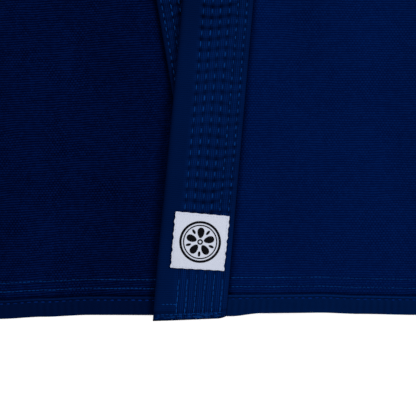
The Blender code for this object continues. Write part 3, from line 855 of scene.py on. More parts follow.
def furrow(across, along):
    """How far the outer face is pulled in at a spot of the band."""
    end = FOLD_DEPTH * dent(along - END_FOLD, 0.8 * MM)
    return ROW_DEPTH * row_dip(across) + PUCKER_DEPTH * quilt(across, along) + end


deepest = max(furrow(ROW_PLACES[2], 0.3 + k * MM) for k in range(9))
print("a row and its puckers draw the band in by up to", round(deepest / MM, 2), "mm")


# %% Painted light and fraying of the band
def band_light_and_wear(across, along):
    """Painted light on the outer face: highlights on the ridges between rows, shade in the furrows,
    beside the rows, at the edges, in the groove of the turned-in end and on the lower lapel, and a frayed
    foot.
    """
    beside = max(dent(abs(across - place) - 1.0 * MM, 0.5 * MM) for place in ROW_PLACES)
    in_rows = ease((38.0 * MM - across) / (3.0 * MM)) * ease((across - 1.5 * MM) / (2.0 * MM))
    ridge_highlight = 0.50 * in_rows * (1.0 - row_dip(across))
    lower = ease((along - UNDER_FROM) / 0.1)
    # Painted shade at the rounded edges and beside the lower lapel's seam
    edge = 0.10 * dent(across - 1.0 * MM, 1.2 * MM) - 0.35 * dent(across + 0.4 * MM, 0.8 * MM)
    edge -= 0.20 * lower * dent(across - 2.6 * MM, 1.0 * MM) + 0.22 * dent(LAPEL_WIDTH - across, 2.5 * MM)
    frayed = math.sin(across * 900.0 + 2.0 * math.sin(across * 370.0)) * math.sin(along * 2600.0)
    # Painted shade in the groove of the turned-in end and at the fold of the foot; the frayed threads
    # above it are real
    end = -0.42 * dent(along - END_FOLD, 1.2 * MM) - 0.70 * dent(along - 0.2 * MM, 1.2 * MM)
    end += (0.32 * frayed - 0.08) * dent(along - 2.6 * MM, 1.6 * MM)
    at_foot = ease((0.075 - along) / 0.03)
    slow = 0.05 * math.sin(along * 47.0) + 0.14 * at_foot
    slow += in_rows * (0.08 * ease((0.180 - along) / 0.06) - 0.13 * at_foot)
    # Painted shade beside the rows, on the whole lower lapel and in the puckers
    by_row = mix(0.16, 0.34, ease((0.045 - along) / 0.01)) * beside * in_rows
    return ridge_highlight + edge + end + slow - 0.24 * lower - 0.80 * quilt(across, along) - by_row


print("between two rows the cloth is lighter by", round(band_light_and_wear(7.5 * MM, 0.3), 2))

# %% One ring of the band
OUTER_PLACES = section_places()
INNER_PLACES = [49.0 * MM, 46.0 * MM, 38.0 * MM, 28.0 * MM, 18.0 * MM, 8.0 * MM, 2.0 * MM, 0.6 * MM]


def rounded_drop(across):
    """How far the section falls short of its full half thickness near its two edges."""
    near = min(across, LAPEL_WIDTH - across)
    if near >= EDGE_RADIUS:
        return 0.0
    return EDGE_RADIUS - math.sqrt(max(EDGE_RADIUS ** 2 - (EDGE_RADIUS - near) ** 2, 0.0))


def band_section(along):
    """The ring at a distance along the band: (in from the seam edge, out from the middle, painted light
    and fraying).
    """
    half = 0.5 * LAPEL_THICK
    ring = [(a, half - rounded_drop(a) - furrow(a, along), band_light_and_wear(a, along)) for a in OUTER_PLACES]
    ring += [(a, -half + rounded_drop(a), 0.0) for a in INNER_PLACES]
    return ring


print("points round the band:", len(OUTER_PLACES) + len(INNER_PLACES))


# %% [markdown]
# ## The way of the band
#
# The band lies on the fronts from each hem up, turns over at each side of the neck and lies flat
# behind it. A curve with a bevel could sweep its section, but a curve can't fold over its own edge. So
# the band is described by rungs: each rung has a point on the seam, a direction to the free edge and a
# side that faces out. At the neck the rungs turn about a fold line, as a strip of paper does.

# %% Rungs of the band
class Rung:
    """One section of the band, with the rule that puts a section point in its place."""

    def __init__(self, place):
        self.place, self.along = place, 0.0
        self.middle = place(0.5 * LAPEL_WIDTH, 0.0)


# The rows of the lower lapel lie nearer to its seam
UNDER_ROW_SHIFT = 1.1 * MM
# How far the corner of the foot is turned up, and over which width
FOOT_CORNER, FOOT_CORNER_WIDE = 1.3 * MM, 6.0 * MM
# The rungs are closest in the part that the photograph shows
SHOWN_TO, CLOSE_RUNGS, FAR_RUNGS = 0.225, 0.75 * MM, 2.1 * MM


def shifted(across, amount):
    """Moves the rows of stitches towards the seam edge and leaves both edges where they are."""
    return across - amount * min(across / FIRST_ROW, 1.0, (LAPEL_WIDTH - across) / (10.0 * MM))


def lying_rung(height, seam_x, side, base, tilt):
    """A rung of a band that lies on a front; the rule gives the height of its underside."""
    start = Vector((seam_x(height), height))
    inward = Vector((-side * math.cos(tilt), math.sin(tilt)))
    width = LAPEL_WIDTH + LAPEL_FLARE * (1.0 - ease(height / FLARE_REACH))
    shift = UNDER_ROW_SHIFT * ease((0.6 - height) / 0.3) if side < 0 else 0.0
    corner = FOOT_CORNER * (1.0 - ease((height - OVER_FOOT) / (10.0 * MM))) if side > 0 else 0.0

    def place(across, out):
        spot = start + inward * (shifted(across, shift) / LAPEL_WIDTH * width)
        up = corner * (1.0 - min(across / FOOT_CORNER_WIDE, 1.0)) ** 2
        return Vector((spot.x, spot.y + up, base(spot.x, spot.y) + 0.5 * LAPEL_THICK + out))

    return Rung(place)


def free_rung(seam_end, free_end, outward):
    """A rung between two points, with its outer face square to it."""
    across_way = (free_end - seam_end).normalized()
    outward = (outward - across_way * outward.dot(across_way)).normalized()
    length = (free_end - seam_end).length

    def place(across, out):
        return seam_end + across_way * (across / LAPEL_WIDTH * length) + outward * out

    return Rung(place)


def lean_at(seam_x, height):
    """The angle between a seam and the way up."""
    step = 1.0 * MM
    return math.atan(abs(seam_x(height + step) - seam_x(height - step)) / (2.0 * step))


def front_rungs(seam_x, side, base, foot, foot_tilt):
    """The rungs from a foot up to where the band turns to the neck."""
    rungs = []
    heights = even_stops(foot, SHOWN_TO, round((SHOWN_TO - foot) / CLOSE_RUNGS))
    heights += even_stops(SHOWN_TO, NECK_FROM, round((NECK_FROM - SHOWN_TO) / FAR_RUNGS))[1:-1]
    for height in heights:
        tilt = mix(foot_tilt, lean_at(seam_x, height), ease((height - foot) / FOOT_TURN))
        rungs.append(lying_rung(height, seam_x, side, base, tilt))
    return rungs


print("upper seam leans by", round(math.degrees(lean_at(over_seam_x, 0.1)), 1), "degrees")

# %% Rungs round the neck
# Rungs before the fold beside the neck, round it and behind the neck
NECK_APPROACH, NECK_TURN, NECK_BEHIND = 48, 16, 40


def neck_rungs(seam_x, side):
    """The rungs up to the fold beside the neck, round it and on to the middle of the neck."""
    middle = 0.5 * LAPEL_THICK
    low = LOWER_LAPEL[0] + middle
    lean = lean_at(seam_x, NECK_SIDE)
    up = Vector((math.sin(lean), math.cos(lean)))
    slope = 2.0 * NECK_DIP / NECK_HALF
    fold = (up + Vector((-1.0, -slope)).normalized()).normalized()
    bulge = Vector((fold.y, -fold.x))
    corner = Vector((NECK_HALF, NECK_SIDE)) + fold * 3.0 * GAP
    free_corner = corner + fold * (LAPEL_WIDTH / (fold.x * -up.y + fold.y * up.x))
    to_corner = corner.x - side * seam_x(corner.y)
    fold_angle = math.atan2(fold.y, fold.x)
    rungs = []

    def add(seam_spot, seam_z, free_spot, free_z, outward):
        rungs.append(free_rung(Vector((side * seam_spot.x, seam_spot.y, seam_z)),
                               Vector((side * free_spot.x, free_spot.y, free_z)),
                               Vector((side * outward.x, outward.y, outward.z))))

    for k in range(NECK_APPROACH):
        t = k / NECK_APPROACH
        height = mix(NECK_FROM, corner.y, t)
        seam_spot = Vector((side * seam_x(height) + to_corner * t, height))
        angle = mix(math.pi - lean, fold_angle, t)
        way = Vector((math.cos(angle), math.sin(angle)))
        free_spot = seam_spot + way * (LAPEL_WIDTH / (way.x * -up.y + way.y * up.x))
        add(seam_spot, mix(low, middle + 2.0 * FOLD_AT_SEAM, ease(t)),
            free_spot, mix(low, middle + 2.0 * FOLD_AT_EDGE, ease(t)), UP)
    for k in range(NECK_TURN + 1):
        turn = math.pi * k / NECK_TURN
        outward = Vector((bulge.x * math.sin(turn), bulge.y * math.sin(turn), math.cos(turn)))
        add(corner + bulge * FOLD_AT_SEAM * math.sin(turn),
            middle + FOLD_AT_SEAM * (1.0 + math.cos(turn)),
            free_corner + bulge * FOLD_AT_EDGE * math.sin(turn),
            middle + FOLD_AT_EDGE * (1.0 + math.cos(turn)), outward)
    for k in range(1, NECK_BEHIND + 1):
        t = k / NECK_BEHIND
        x = NECK_HALF * (1.0 - t)
        seam_spot = Vector((x, back_top(x) + 2.0 * GAP))
        square = Vector((-slope * x / NECK_HALF, 1.0)).normalized()
        angle = mix(fold_angle, 0.5 * math.pi, ease(0.5 + 0.5 * t) * 2.0 - 1.0)
        way = Vector((math.cos(angle), math.sin(angle)))
        free_spot = seam_spot + way * (LAPEL_WIDTH / way.dot(square))
        add(seam_spot, middle, free_spot, middle, -UP)
    return rungs


print("rungs from each front to the middle of the neck:", NECK_APPROACH + NECK_TURN + 1 + NECK_BEHIND)

# %% Build the band
over_front = front_rungs(over_seam_x, 1, over_base, OVER_FOOT, -OVER_FOOT_TILT)
over_neck = neck_rungs(over_seam_x, 1)
under_front = front_rungs(under_seam_x, -1, under_base, UNDER_FOOT, 0.0)
under_neck = neck_rungs(under_seam_x, -1)
band_rungs = over_front + over_neck + list(reversed(under_front + under_neck[:-1]))
for before, rung in zip(band_rungs, band_rungs[1:]):
    rung.along = before.along + (rung.middle - before.middle).length
BAND_LENGTH = band_rungs[-1].along
print("lapel band length", round(BAND_LENGTH, 3), "m,", len(band_rungs), "rungs")


def make_band(finish):
    """A grid with a row for each rung, closed round its section and at both ends."""
    rings = [band_section(rung.along) for rung in band_rungs]
    around, steps = len(rings[0]), len(rings) - 1
    shape = bmesh.new()
    bmesh.ops.create_grid(shape, x_segments=around, y_segments=steps, size=0.5)
    lengths = shape.loops.layers.uv.new("lengths")
    lit_and_worn = shape.verts.layers.float.new("painted_light_and_wear")
    sewn = shape.verts.layers.float.new("sewn")
    girth = [0.0]
    for (a0, b0, _), (a1, b1, _) in zip(rings[0], rings[0][1:] + rings[0][:1]):
        girth.append(girth[-1] + math.hypot(a1 - a0, b1 - b0))
    for vertex in shape.verts:
        column = round((vertex.co.x + 0.5) * around)
        row = round((vertex.co.y + 0.5) * steps)
        for loop in vertex.link_loops:
            loop[lengths].uv = (girth[column], band_rungs[row].along)
        across, out, painted_light_and_wear = rings[row][column % around]
        vertex.co = band_rungs[row].place(across, out)
        vertex[lit_and_worn] = painted_light_and_wear
        in_rows = ease((across - 1.5 * MM) / (2.0 * MM)) * ease((37.0 * MM - across) / (2.0 * MM))
        vertex[sewn] = in_rows * (1.0 - 0.7 * quilt(across, band_rungs[row].along))
    bmesh.ops.remove_doubles(shape, verts=shape.verts, dist=0.001 * MM)
    bmesh.ops.holes_fill(shape, edges=[e for e in shape.edges if e.is_boundary], sides=0)
    bmesh.ops.recalc_face_normals(shape, faces=shape.faces)
    return add_piece("lapel_band_cloth", shape, finish, "lapel_band", smooth=60)


band = make_band(LAPEL_CLOTH)

# %% [markdown]
# ## Stitches
#
# A stitch is a short stretch of thick thread that dips into the cloth at both ends. It could be drawn
# by the material, but it stands out of the cloth and casts a small shadow. So one small rounded shape
# stands for it, and it is copied along each row, turned to the row and laid on the cloth. A few dozen
# faces are enough for each, because there are thousands.

# %% Stitch tools


def blank_stitch():
    """One rounded shape, a metre long, written to a mesh so that its vertices are in a fixed order."""
    shape = bmesh.new()
    bmesh.ops.create_uvsphere(shape, u_segments=6, v_segments=5, radius=0.5)
    mesh = bpy.data.meshes.new("blank stitch")
    shape.to_mesh(mesh)
    shape.free()
    return mesh


BLANK_STITCH = blank_stitch()


def sew(name, stitches, finish):
    """Makes the stitches of a list: each one is (middle, way, up, length, width, thickness)."""
    shape = bmesh.new()
    shape.from_mesh(BLANK_STITCH)
    blank = [vertex.co.copy() for vertex in shape.verts]
    while len(shape.verts) < len(blank) * len(stitches):
        bmesh.ops.duplicate(shape, geom=shape.verts[:] + shape.edges[:] + shape.faces[:])
    vertices = shape.verts[:]
    for k, (middle, way, up, length, width, thick) in enumerate(stitches):
        side = way.cross(up).normalized()
        up = side.cross(way).normalized()
        for vertex, local in zip(vertices[k * len(blank):(k + 1) * len(blank)], blank):
            bow = 0.25 * thick * (1.0 - (2.0 * local.z) ** 2)
            vertex.co = (middle + way * (local.z * length) + side * (local.x * width)
                         + up * (local.y * thick + bow))
            # Where the band turns under at the neck, the floor presses the stitches flat
            vertex.co.z = max(vertex.co.z, 0.0)
    spare = vertices[len(stitches) * len(blank):]
    bmesh.ops.delete(shape, geom=spare, context="VERTS")
    return add_piece(name, shape, finish)


print("faces of one stitch:", len(BLANK_STITCH.polygons))

# %% Rows on the band
sewing = random.Random(7)
# A stitch along a row sinks into the band, and one across it or at its end stands proud
ROW_SINK, STITCH_LIFT = 0.35 * MM, 0.25 * MM


def band_spot(across, along, face):
    """A place on the band's outer (1) or inner (-1) face, with the ways along and out."""
    after = next(k for k, rung in enumerate(band_rungs) if rung.along > along)
    rung, following = band_rungs[after - 1], band_rungs[after]
    share = (along - rung.along) / (following.along - rung.along)
    out = face * 0.5 * LAPEL_THICK - (ROW_SINK if face > 0 else 0.0)
    first, second = rung.place(across, out), following.place(across, out)
    up = (rung.place(across, out + face * MM) - first).normalized()
    return mix(first, second, share), (second - first).normalized(), up


def row_on_band(across, pitch, first, last, length, face=1.0):
    """Stitches along the band between two distances, on its outer or inner face."""
    stitches = []
    for k in range(int((last - first) / pitch)):
        middle, way, up = band_spot(across, first + k * pitch, face)
        middle += way.cross(up) * sewing.uniform(-0.2, 0.2) * MM
        long = length * sewing.uniform(0.85, 1.10)
        stitches.append((middle, way, up, long, sewing.uniform(0.85, 1.1) * MM, 0.65 * MM))
    return stitches


def row_across_band(along, first, last, pitch):
    """Stitches across the band at one distance along it."""
    stitches = []
    for k in range(int((last - first) / pitch)):
        middle, way, up = band_spot(first + (k + 0.5) * pitch, along, 1.0)
        middle += way * sewing.uniform(-0.2, 0.2) * MM + up * STITCH_LIFT
        stitches.append((middle, way.cross(up), up, 0.85 * pitch, 0.8 * MM, 0.6 * MM))
    return stitches


print("band 0.3 m from its foot:", [round(c, 4) for c in band_spot(0.5 * LAPEL_WIDTH, 0.3, 1)[0]])

# %% Stitches of the lapel
# The wide rows start under the patch, and the foot below it is sewn closely, up to these distances
QUILT_FROM, FOOT_FROM, FOOT_STITCH = 36.0 * MM, 6.5 * MM, 4.0 * MM
LOW_ROW_TOPS = (33.0 * MM, 37.0 * MM, 36.0 * MM, 36.0 * MM, 31.0 * MM, 31.0 * MM)
lapel_sewing = []
for across, pitch, low_top in zip(ROW_PLACES, PITCH_OF_ROW, LOW_ROW_TOPS):
    offset = STITCH_START - STITCH_SLANT * across
    first = offset - pitch * math.floor((offset - QUILT_FROM) / pitch)
    lapel_sewing += row_on_band(across, pitch, first, UNDER_FROM, 0.50 * pitch)
    lapel_sewing += row_on_band(across, FOOT_STITCH, FOOT_FROM, low_top, FOOT_STITCH)
    under_pitch = UNDER_STITCH if pitch == SHORT_STITCH else SHORT_STITCH
    lapel_sewing += row_on_band(across, under_pitch, UNDER_FROM, BAND_LENGTH - 4 * MM, 0.62 * under_pitch)
# One row holds the turned-in end, and a short one above it runs out to the free edge
lapel_sewing += row_across_band(END_FOLD - 1.5 * MM, 3.0 * MM, 48.0 * MM, 3.0 * MM)
lapel_sewing += row_across_band(11.2 * MM, 34.5 * MM, 47.5 * MM, 2.6 * MM)
# Frayed ends along the fold of the foot
FRAYED_ENDS = 44
for k in range(FRAYED_ENDS):
    middle, way, up = band_spot(sewing.uniform(1.5, 48.0) * MM, sewing.uniform(1.4, 3.6) * MM, 1.0)
    lapel_sewing.append((middle + up * STITCH_LIFT, way.cross(up), up,
                         sewing.uniform(1.2, 3.6) * MM, 0.60 * MM, 0.4 * MM))
lapel_stitches = sew("lapel_stitches", lapel_sewing, THREAD)

# The inner face of the band shows behind the neck, where the thread comes through
behind_from = band_rungs[len(over_front) + NECK_APPROACH + NECK_TURN + 2].along
behind_to = BAND_LENGTH - (behind_from - 2.0 * MM)
neck_sewing = []
for across, pitch in zip(ROW_PLACES, PITCH_OF_ROW):
    neck_sewing += row_on_band(across, pitch, behind_from, behind_to, 0.56 * pitch, -1.0)
neck_stitches = sew("neck_stitches", neck_sewing, THREAD)

# %% [markdown]
# ## Hem stitches
#
# The inner leg of each tape is held by two rows of stitches that show on the outside of the panel, and
# its outer leg by one row of longer stitches near its upper edge. They are real shapes like those of the
# lapel, but follow a line on level cloth, which needs a simpler tool.

# %% Stitches of the hems
# Thickness of the thread, and how far the middle of a stitch stands over the cloth
HEM_THICK, PROUD = 0.5 * MM, 0.05 * MM


def stitch_line(rule, pitch, length, width=0.8 * MM):
    """Stitches along a line on a level cloth: the rule gives its place at each share from 0 to 1."""
    stops = [rule(k / 50) for k in range(51)]
    count = round(sum((b - a).length for a, b in zip(stops, stops[1:])) / pitch)
    stitches = []
    for k in range(count):
        share = (k + 0.5) / count
        here = rule(share)
        way = (rule(share + 0.002) - here).normalized()
        side = way.cross(UP).normalized()
        middle = here + side * sewing.uniform(-0.15, 0.15) * MM
        long, wide = length * sewing.uniform(0.80, 1.12), width * sewing.uniform(0.65, 1.1)
        stitches.append((middle, way, UP, long, wide, HEM_THICK))
    return stitches


# Height of a stitch over the panel's underside, on the panel and on its tape
ON_PANEL, ON_TAPE = PANEL + PROUD, PANEL + GAP + TAPE + PROUD
# Distance up, pitch, length, height, width
HEM_ROWS = ((LOW_ROW, 2.9 * MM, 2.8 * MM, ON_PANEL, 0.85 * MM),
            (HIGH_ROW, 2.9 * MM, 2.9 * MM, ON_PANEL, 0.80 * MM),
            (TAPE_ROW, TAPE_PITCH, 2.9 * MM, ON_TAPE, 1.10 * MM))


def sew_hems(name, rows, finish):
    """The same rows of stitches along the hems of both fronts."""
    stitches = []
    for row, pitch, length, lift, width in rows:
        for side in (1, -1):
            stitches += stitch_line(
                lambda share, r=row, s=side, z=lift: front_spot(mix(0.004, 0.996, share), r, s) + UP * z,
                pitch, length, width)
    sew(name, stitches, finish)


sew_hems("hem_stitches", HEM_ROWS[:2], HEM_THREAD)
sew_hems("tape_stitches", HEM_ROWS[2:], TAPE_THREAD)

# %% [markdown]
# ## Sleeves
#
# A sleeve is a tube that lies pressed flat, so its two layers meet in soft folds along its upper and
# lower edges. Two flat sheets would leave a sharp seam there. So one grid is wrapped round the tube, the
# top layer is lifted into creases, and Solidify gives the wall, which shows at the open cuff.

# %% Form of a sleeve
# Height inside the flat sleeve, how much of it the cuff loses, and the share over which it changes
SLEEVE_HOLLOW, CUFF_LOSS, END_SHARE = 2.6 * MM, 1.2 * MM, 0.3
# The sleeve starts just clear of the body
SLEEVE_START = CHEST_HALF + 0.05 * MM
# Creases die away over this share of the width at each edge
PLAIN_EDGE = 0.12


def sleeve_hollow(share):
    at_body = ON_BACK[0] - PANEL
    opened = mix(at_body, SLEEVE_HOLLOW, ease(share / END_SHARE))
    return opened - CUFF_LOSS * ease((share - 1.0 + END_SHARE) / END_SHARE)


def sleeve_spot(around, share, side):
    """A point of the outside of a sleeve: around runs once round it, share from body to cuff."""
    low = Vector((mix(SLEEVE_START, CUFF_BOTTOM[0], share), mix(ARMPIT, CUFF_BOTTOM[1], share)))
    high = Vector((mix(SLEEVE_START, CUFF_TOP[0], share), mix(SHOULDER_END, CUFF_TOP[1], share)))
    thickness = 2.0 * PANEL + sleeve_hollow(share)
    radius = 0.5 * thickness
    width = (high - low).length
    run = width - 2.0 * radius
    turn = math.pi * radius
    place = around * 2.0 * (run + turn)
    if place < run:
        across, z = radius + place, 0.0
    elif place < run + turn:
        angle = (place - run) / radius - 0.5 * math.pi
        across, z = width - radius + radius * math.cos(angle), radius + radius * math.sin(angle)
    elif place < 2.0 * run + turn:
        across, z = width - radius - (place - run - turn), thickness
    else:
        angle = (place - 2.0 * run - turn) / radius + 0.5 * math.pi
        across, z = radius + radius * math.cos(angle), radius + radius * math.sin(angle)
    spot = low + (high - low) * (across / width)
    top = ease((z - radius) / radius)
    plain = PLAIN_EDGE * width
    inside = ease(across / plain) * ease((width - across) / plain)
    rise = crease_rise(SLEEVE_CREASES, spot.x, spot.y) * top
    rise += crease_rise(SLEEVE_TROUGHS, spot.x, spot.y) * ease((radius - z) / radius)
    rise *= inside * ease(share / 0.05) * ease((1.0 - share) / 0.04)
    return Vector((side * spot.x, spot.y, z + rise))


print("a sleeve is", round((2.0 * PANEL + sleeve_hollow(0.5)) / MM, 1), "mm thick half way")

# %% Sleeves
# Place of the dark line over the cuff's hem, as a share of the length
CUFF_HEM = 0.938
# The wall is a little thinner than the cloth, which leaves room inside the folds
SLEEVE_WALL = 0.9 * PANEL
# Stops round a sleeve and along it
AROUND, ALONG = 160, 170


def make_sleeve(node, side, finish):
    """A tube of cloth, with its wall inside it. The right sleeve is a mirror image, so it is turned."""
    def painted_light_and_wear(around, share):
        spot = sleeve_spot(around % 1.0, share, side)
        seam = -0.35 * dent(share, 0.005) - 0.25 * dent(share - CUFF_HEM, 0.004)
        upper = ease((spot.z - PANEL) / PANEL)
        # Painted shade in the troughs of the lower layer, and painted light and shade on the creases of
        # the upper one; the seams are dark lines of their own
        troughs = -0.40 * crease_rise(SLEEVE_TROUGHS, abs(spot.x), spot.y) / MM
        return seam + mix(troughs, crease_light_and_shade(SLEEVE_CREASES, abs(spot.x), spot.y), upper)

    shape = placed_grid(even_stops(0, 1, AROUND), even_stops(0, 1, ALONG),
                        lambda around, share: sleeve_spot(around % 1.0, share, side), painted_light_and_wear)
    bmesh.ops.remove_doubles(shape, verts=shape.verts, dist=0.001 * MM)
    if side < 0:
        bmesh.ops.reverse_faces(shape, faces=shape.faces)
    sleeve = add_piece(node + "_cloth", shape, finish, node)
    wall = sleeve.modifiers.new("wall", "SOLIDIFY")
    wall.thickness, wall.offset = SLEEVE_WALL, -1.0
    return sleeve


sleeve_left = make_sleeve("sleeve_left", 1, LEFT_WEAVE)
# The right sleeve takes the right front's darker weave, with its painted shade
sleeve_right = make_sleeve("sleeve_right", -1, SHADED_RIGHT_WEAVE)


# %% [markdown]
# ## Seams of the body and the sleeves
#
# Two rows of stitches hold each armhole and each shoulder, one row closes each side seam above its open
# slit, and two rows hem each cuff. They are laid with the same tool as the hems.

# %% Seam stitches
def on_front(across, row, side):
    return front_spot(across, row, side) + UP * ON_PANEL


def on_sleeve(share, up, side):
    """A place on the upper layer of a sleeve, by shares of its length and of its height."""
    return sleeve_spot(0.999 - 0.49 * up, share, side) + UP * PROUD


SEAM_PITCH, SEAM_STITCH = 3.6 * MM, 3.0 * MM
# Rows as shares of a front's width, distances below the shoulder, and shares of a sleeve's length
ARMHOLE_ROWS, SIDE_ROW, SHOULDER_ROWS = (0.985, 0.962), 0.975, (4.0 * MM, 10.0 * MM)
SLEEVE_ROWS = (0.010, 0.022, 0.945, 0.958)
seam_lines = []
for side in (1, -1):
    for across in ARMHOLE_ROWS:
        seam_lines.append(
            lambda t, a=across, s=side: on_front(a, mix(ARMPIT + 0.02, NECK_SIDE - 0.006, t), s))
    for down in SHOULDER_ROWS:
        seam_lines.append(lambda t, d=down, s=side: on_front(mix(0.02, 0.95, t), NECK_SIDE - d, s))
    seam_lines.append(
        lambda t, s=side: on_front(SIDE_ROW, mix(VENT + SEAM_RAMP, ARMPIT - 0.01, t), s))
    for share in SLEEVE_ROWS:
        seam_lines.append(lambda t, c=share, s=side: on_sleeve(c, mix(0.02, 0.98, t), s))
seam_sewing = []
for line in seam_lines:
    seam_sewing += stitch_line(line, SEAM_PITCH, SEAM_STITCH)
sew("seam_stitches", seam_sewing, HEM_THREAD)

# %% [markdown]
# ## The woven patch
#
# A square patch is sewn over the lapel near its foot. It is a thin slab that follows the top of the
# lapel, with slightly wavy sides and small stitches along them. The design woven into it is two plain
# rings round a blossom of five petals. A formula in the material could draw it, but thin black shapes,
# drawn flat and then laid on, have cleaner edges and a little thickness, as embroidery has.

# %% Patch
PATCH_TILT = math.atan(OVER_LEAN)
patch_side = Vector((math.cos(PATCH_TILT), -math.sin(PATCH_TILT)))
patch_up = Vector((math.sin(PATCH_TILT), math.cos(PATCH_TILT)))
patch_middle = Vector((over_seam_x(PATCH_UP), PATCH_UP)) - patch_side * PATCH_IN
PATCH_LIFT = LAPEL_THICK + 1.5 * GAP


def on_patch(a, b, lift=0.0):
    """A place on the patch, measured from its middle, at a height above its underside."""
    spot = patch_middle + patch_side * a + patch_up * b
    return Vector((spot.x, spot.y, over_base(spot.x, spot.y) + PATCH_LIFT + lift))


def patch_spot(u, v):
    """A place on the patch's underside: its sides wave a little and one corner is drawn in."""
    wave = 0.20 * MM * (math.sin(v * 55.0) + math.sin(v * 31.0 + 1.0)) * (2.0 * u - 1.0) ** 4
    sag = 0.12 * MM * math.sin(u * 37.0) * (2.0 * v - 1.0) ** 4
    drawn_in = u * (1.0 - v)
    a = (u - 0.5) * PATCH_WIDTH + wave * (1 if u > 0.5 else -1) - 0.8 * MM * drawn_in
    return on_patch(a, (v - 0.5) * PATCH_HEIGHT + sag + 1.1 * MM * drawn_in)


patch = laid_cloth("label_cloth", placed_grid(even_stops(0, 1, 60), even_stops(0, 1, 60), patch_spot),
                   PATCH, PATCH_WHITE, "label")

# %% Shapes for the design of the patch
MOTIF_THICK, MOTIF_SINK = 0.20 * MM, 0.05 * MM


def ring_shape(outer, inner, sides):
    shape = bmesh.new()
    bmesh.ops.create_circle(shape, cap_ends=True, segments=sides, radius=outer)
    bmesh.ops.inset_region(shape, faces=shape.faces[:], thickness=outer - inner,
                           use_boundary=True, use_even_offset=True)
    middle = min(shape.faces, key=lambda face: face.calc_center_median().length)
    bmesh.ops.delete(shape, geom=[middle], context="FACES_ONLY")
    raise_flat(shape, MOTIF_THICK)
    return shape


def petal_shape(size, angle, taper):
    """An oval that points away from the middle at an angle, and narrows towards it."""
    long, wide, away = size
    shape = bmesh.new()
    bmesh.ops.create_circle(shape, cap_ends=True, segments=24, radius=1.0)
    for vertex in shape.verts:
        x, y = vertex.co.x, vertex.co.y
        narrow = 1.0 - taper * (0.5 - 0.5 * x)
        local = Vector((0.5 * long * x + away, 0.5 * wide * y * narrow))
        vertex.co = (local.x * math.cos(angle) - local.y * math.sin(angle),
                     local.x * math.sin(angle) + local.y * math.cos(angle), 0.0)
    raise_flat(shape, MOTIF_THICK)
    return shape


def gather(shapes):
    """Several shapes as one."""
    whole = bmesh.new()
    for shape in shapes:
        mesh = bpy.data.meshes.new("part")
        shape.to_mesh(mesh)
        shape.free()
        whole.from_mesh(mesh)
        bpy.data.meshes.remove(mesh)
    return whole


def lay_on_patch(shape, lift):
    for vertex in shape.verts:
        vertex.co = on_patch(vertex.co.x, vertex.co.y, lift + vertex.co.z)


print("the design is", round(MOTIF_THICK / MM, 2), "mm thick")

# %% Design of the patch
# The radii and sides of each ring, and the length, width and place of a petal
RINGS = ((14.6 * MM, 13.0 * MM, 72), (12.0 * MM, 11.2 * MM, 72))
CENTRE_RING = (2.0 * MM, 1.0 * MM, 24)
PETAL, SMALL_PETAL = (7.4 * MM, 5.8 * MM, 6.4 * MM), (3.8 * MM, 1.8 * MM, 8.4 * MM)
shapes = [ring_shape(*ring) for ring in RINGS]
for k in range(5):
    angle = 0.5 * math.pi + k * 2.0 * math.pi / 5
    shapes.append(petal_shape(PETAL, angle, 0.35))
    shapes.append(petal_shape(SMALL_PETAL, angle + math.pi / 5, 0.0))
shapes.append(ring_shape(*CENTRE_RING))
motif_shape = gather(shapes)
lay_on_patch(motif_shape, PATCH - MOTIF_SINK)
motif = add_piece("patch_motif", motif_shape, PATCH_BLACK)

# %% Patch stitches
PATCH_INSET, PATCH_PITCH, PATCH_STITCH = 1.3 * MM, 2.0 * MM, (1.5 * MM, 0.45 * MM, 0.35 * MM)
patch_sewing = []
for side in range(4):
    half_long = 0.5 * (PATCH_HEIGHT if side % 2 else PATCH_WIDTH) - PATCH_INSET
    away = 0.5 * (PATCH_WIDTH if side % 2 else PATCH_HEIGHT) - PATCH_INSET
    count = int(2.0 * half_long / PATCH_PITCH)
    turn = math.pi / 2 * side
    way = (patch_side * math.cos(turn) + patch_up * math.sin(turn)).to_3d()
    for k in range(count):
        t = mix(-half_long, half_long, (k + 0.5) / count)
        a = t * math.cos(turn) + away * math.sin(turn)
        b = t * math.sin(turn) - away * math.cos(turn)
        patch_sewing.append((on_patch(a, b, PATCH), way, UP, *PATCH_STITCH))
patch_stitches = sew("patch_stitches", patch_sewing, WHITE_THREAD)


# %% [markdown]
# ## Areas of the panels
#
# The area of each front, and of the back, is worked out in plan from the corners of a coarse grid.

# %% Areas
def plan_area(spot, steps=60):
    """Area of a panel, from the corners of a coarse grid in plan."""
    corners = [[spot(i / steps, j / steps * NECK_SIDE) for j in range(steps + 1)]
               for i in range(steps + 1)]
    total = 0.0
    for near, far in zip(corners, corners[1:]):
        for a, b, c, d in zip(near, far, far[1:], near[1:]):
            total += 0.5 * abs((c.x - a.x) * (d.y - b.y) - (d.x - b.x) * (c.y - a.y))
    return total


front_left_area, front_right_area = plan_area(left_spot), plan_area(right_spot)
# The back's area is worked out the same way, and not kept
plan_area(back_spot)

# %% [markdown]
# ## Floor, light and camera
#
# The photograph looks straight down on white. An even pale sky gives the soft light, and one large lamp
# from the upper right puts a soft shadow at the left edge of each raised layer. The floor is pale and
# glows a little, so that it stays white where the jacket shades it.

# %% Floor
FLOOR_GLOW, FLOOR_HALF, FLOOR_DEPTH = 0.6, 6.0, 0.3 * MM


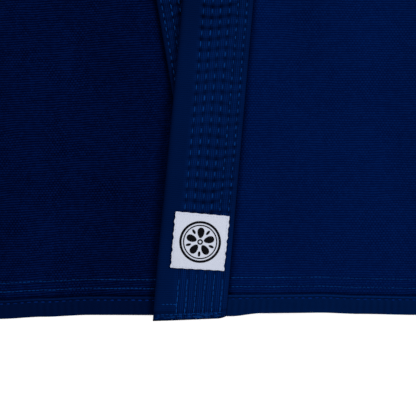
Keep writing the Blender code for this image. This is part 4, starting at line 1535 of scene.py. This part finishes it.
def plain_floor():
    shape = bmesh.new()
    bmesh.ops.create_grid(shape, x_segments=1, y_segments=1, size=FLOOR_HALF)
    bmesh.ops.translate(shape, verts=shape.verts, vec=(0.0, 0.0, -FLOOR_DEPTH))
    mesh = bpy.data.meshes.new("floor")
    shape.to_mesh(mesh)
    shape.free()
    finish = bpy.data.materials.new("pale floor")
    finish.use_nodes = True
    shader = finish.node_tree.nodes["Principled BSDF"]
    shader.inputs["Base Color"].default_value = (0.94, 0.94, 0.94, 1.0)
    shader.inputs["Emission Color"].default_value = (1.0, 1.0, 1.0, 1.0)
    shader.inputs["Emission Strength"].default_value = FLOOR_GLOW
    shader.inputs["Roughness"].default_value = 0.9
    shader.inputs["Specular IOR Level"].default_value = 0.1
    mesh.materials.append(finish)
    floor = bpy.data.objects.new("floor", mesh)
    bpy.context.scene.collection.objects.link(floor)
    print("floor reaches", FLOOR_HALF, "m each way")


plain_floor()

# %% Light
SKY, LAMP = 0.75, 44.0
LAMP_PLACE, LAMP_AIM = Vector((1.5, 0.4, 1.9)), Vector((0.0, -0.3, 0.0))
scene = bpy.context.scene
scene.view_settings.view_transform = "Standard"
world = bpy.data.worlds.new("pale sky")
scene.world = world
world.use_nodes = True
world.node_tree.nodes["Background"].inputs["Color"].default_value = (1.0, 1.0, 1.0, 1.0)
world.node_tree.nodes["Background"].inputs["Strength"].default_value = SKY
lamp_data = bpy.data.lights.new("window", "AREA")
lamp_data.shape, lamp_data.size, lamp_data.energy = "SQUARE", 1.0, LAMP
lamp = bpy.data.objects.new("window", lamp_data)
lamp.location = LAMP_PLACE
lamp.rotation_euler = (LAMP_AIM - LAMP_PLACE).to_track_quat("-Z", "Y").to_euler()
scene.collection.objects.link(lamp)
print("lamp at", tuple(round(c, 2) for c in LAMP_PLACE))

# %% Camera
# Size of a pixel on the cloth, and the pixels of the jacket's middle and of its hem
PIXEL = 0.704 * MM
PHOTO_SIDE = 416
JACKET_AXIS_PIXEL, HEM_PIXEL = 190, 316
CAMERA_HEIGHT, CLOTH_LEVEL, SENSOR = 1.3, 10 * MM, 36.0
middle_x = (0.5 * PHOTO_SIDE - JACKET_AXIS_PIXEL) * PIXEL
middle_y = (HEM_PIXEL - 0.5 * PHOTO_SIDE) * PIXEL - MIDDLE
camera_data = bpy.data.cameras.new("camera")
camera_data.sensor_width = SENSOR
camera_data.lens = SENSOR * (CAMERA_HEIGHT - CLOTH_LEVEL) / (PHOTO_SIDE * PIXEL)
camera = bpy.data.objects.new("camera", camera_data)
camera.location = (middle_x, middle_y, CAMERA_HEIGHT)
scene.collection.objects.link(camera)
scene.camera = camera
print("camera over", round(middle_x, 4), round(middle_y, 4))
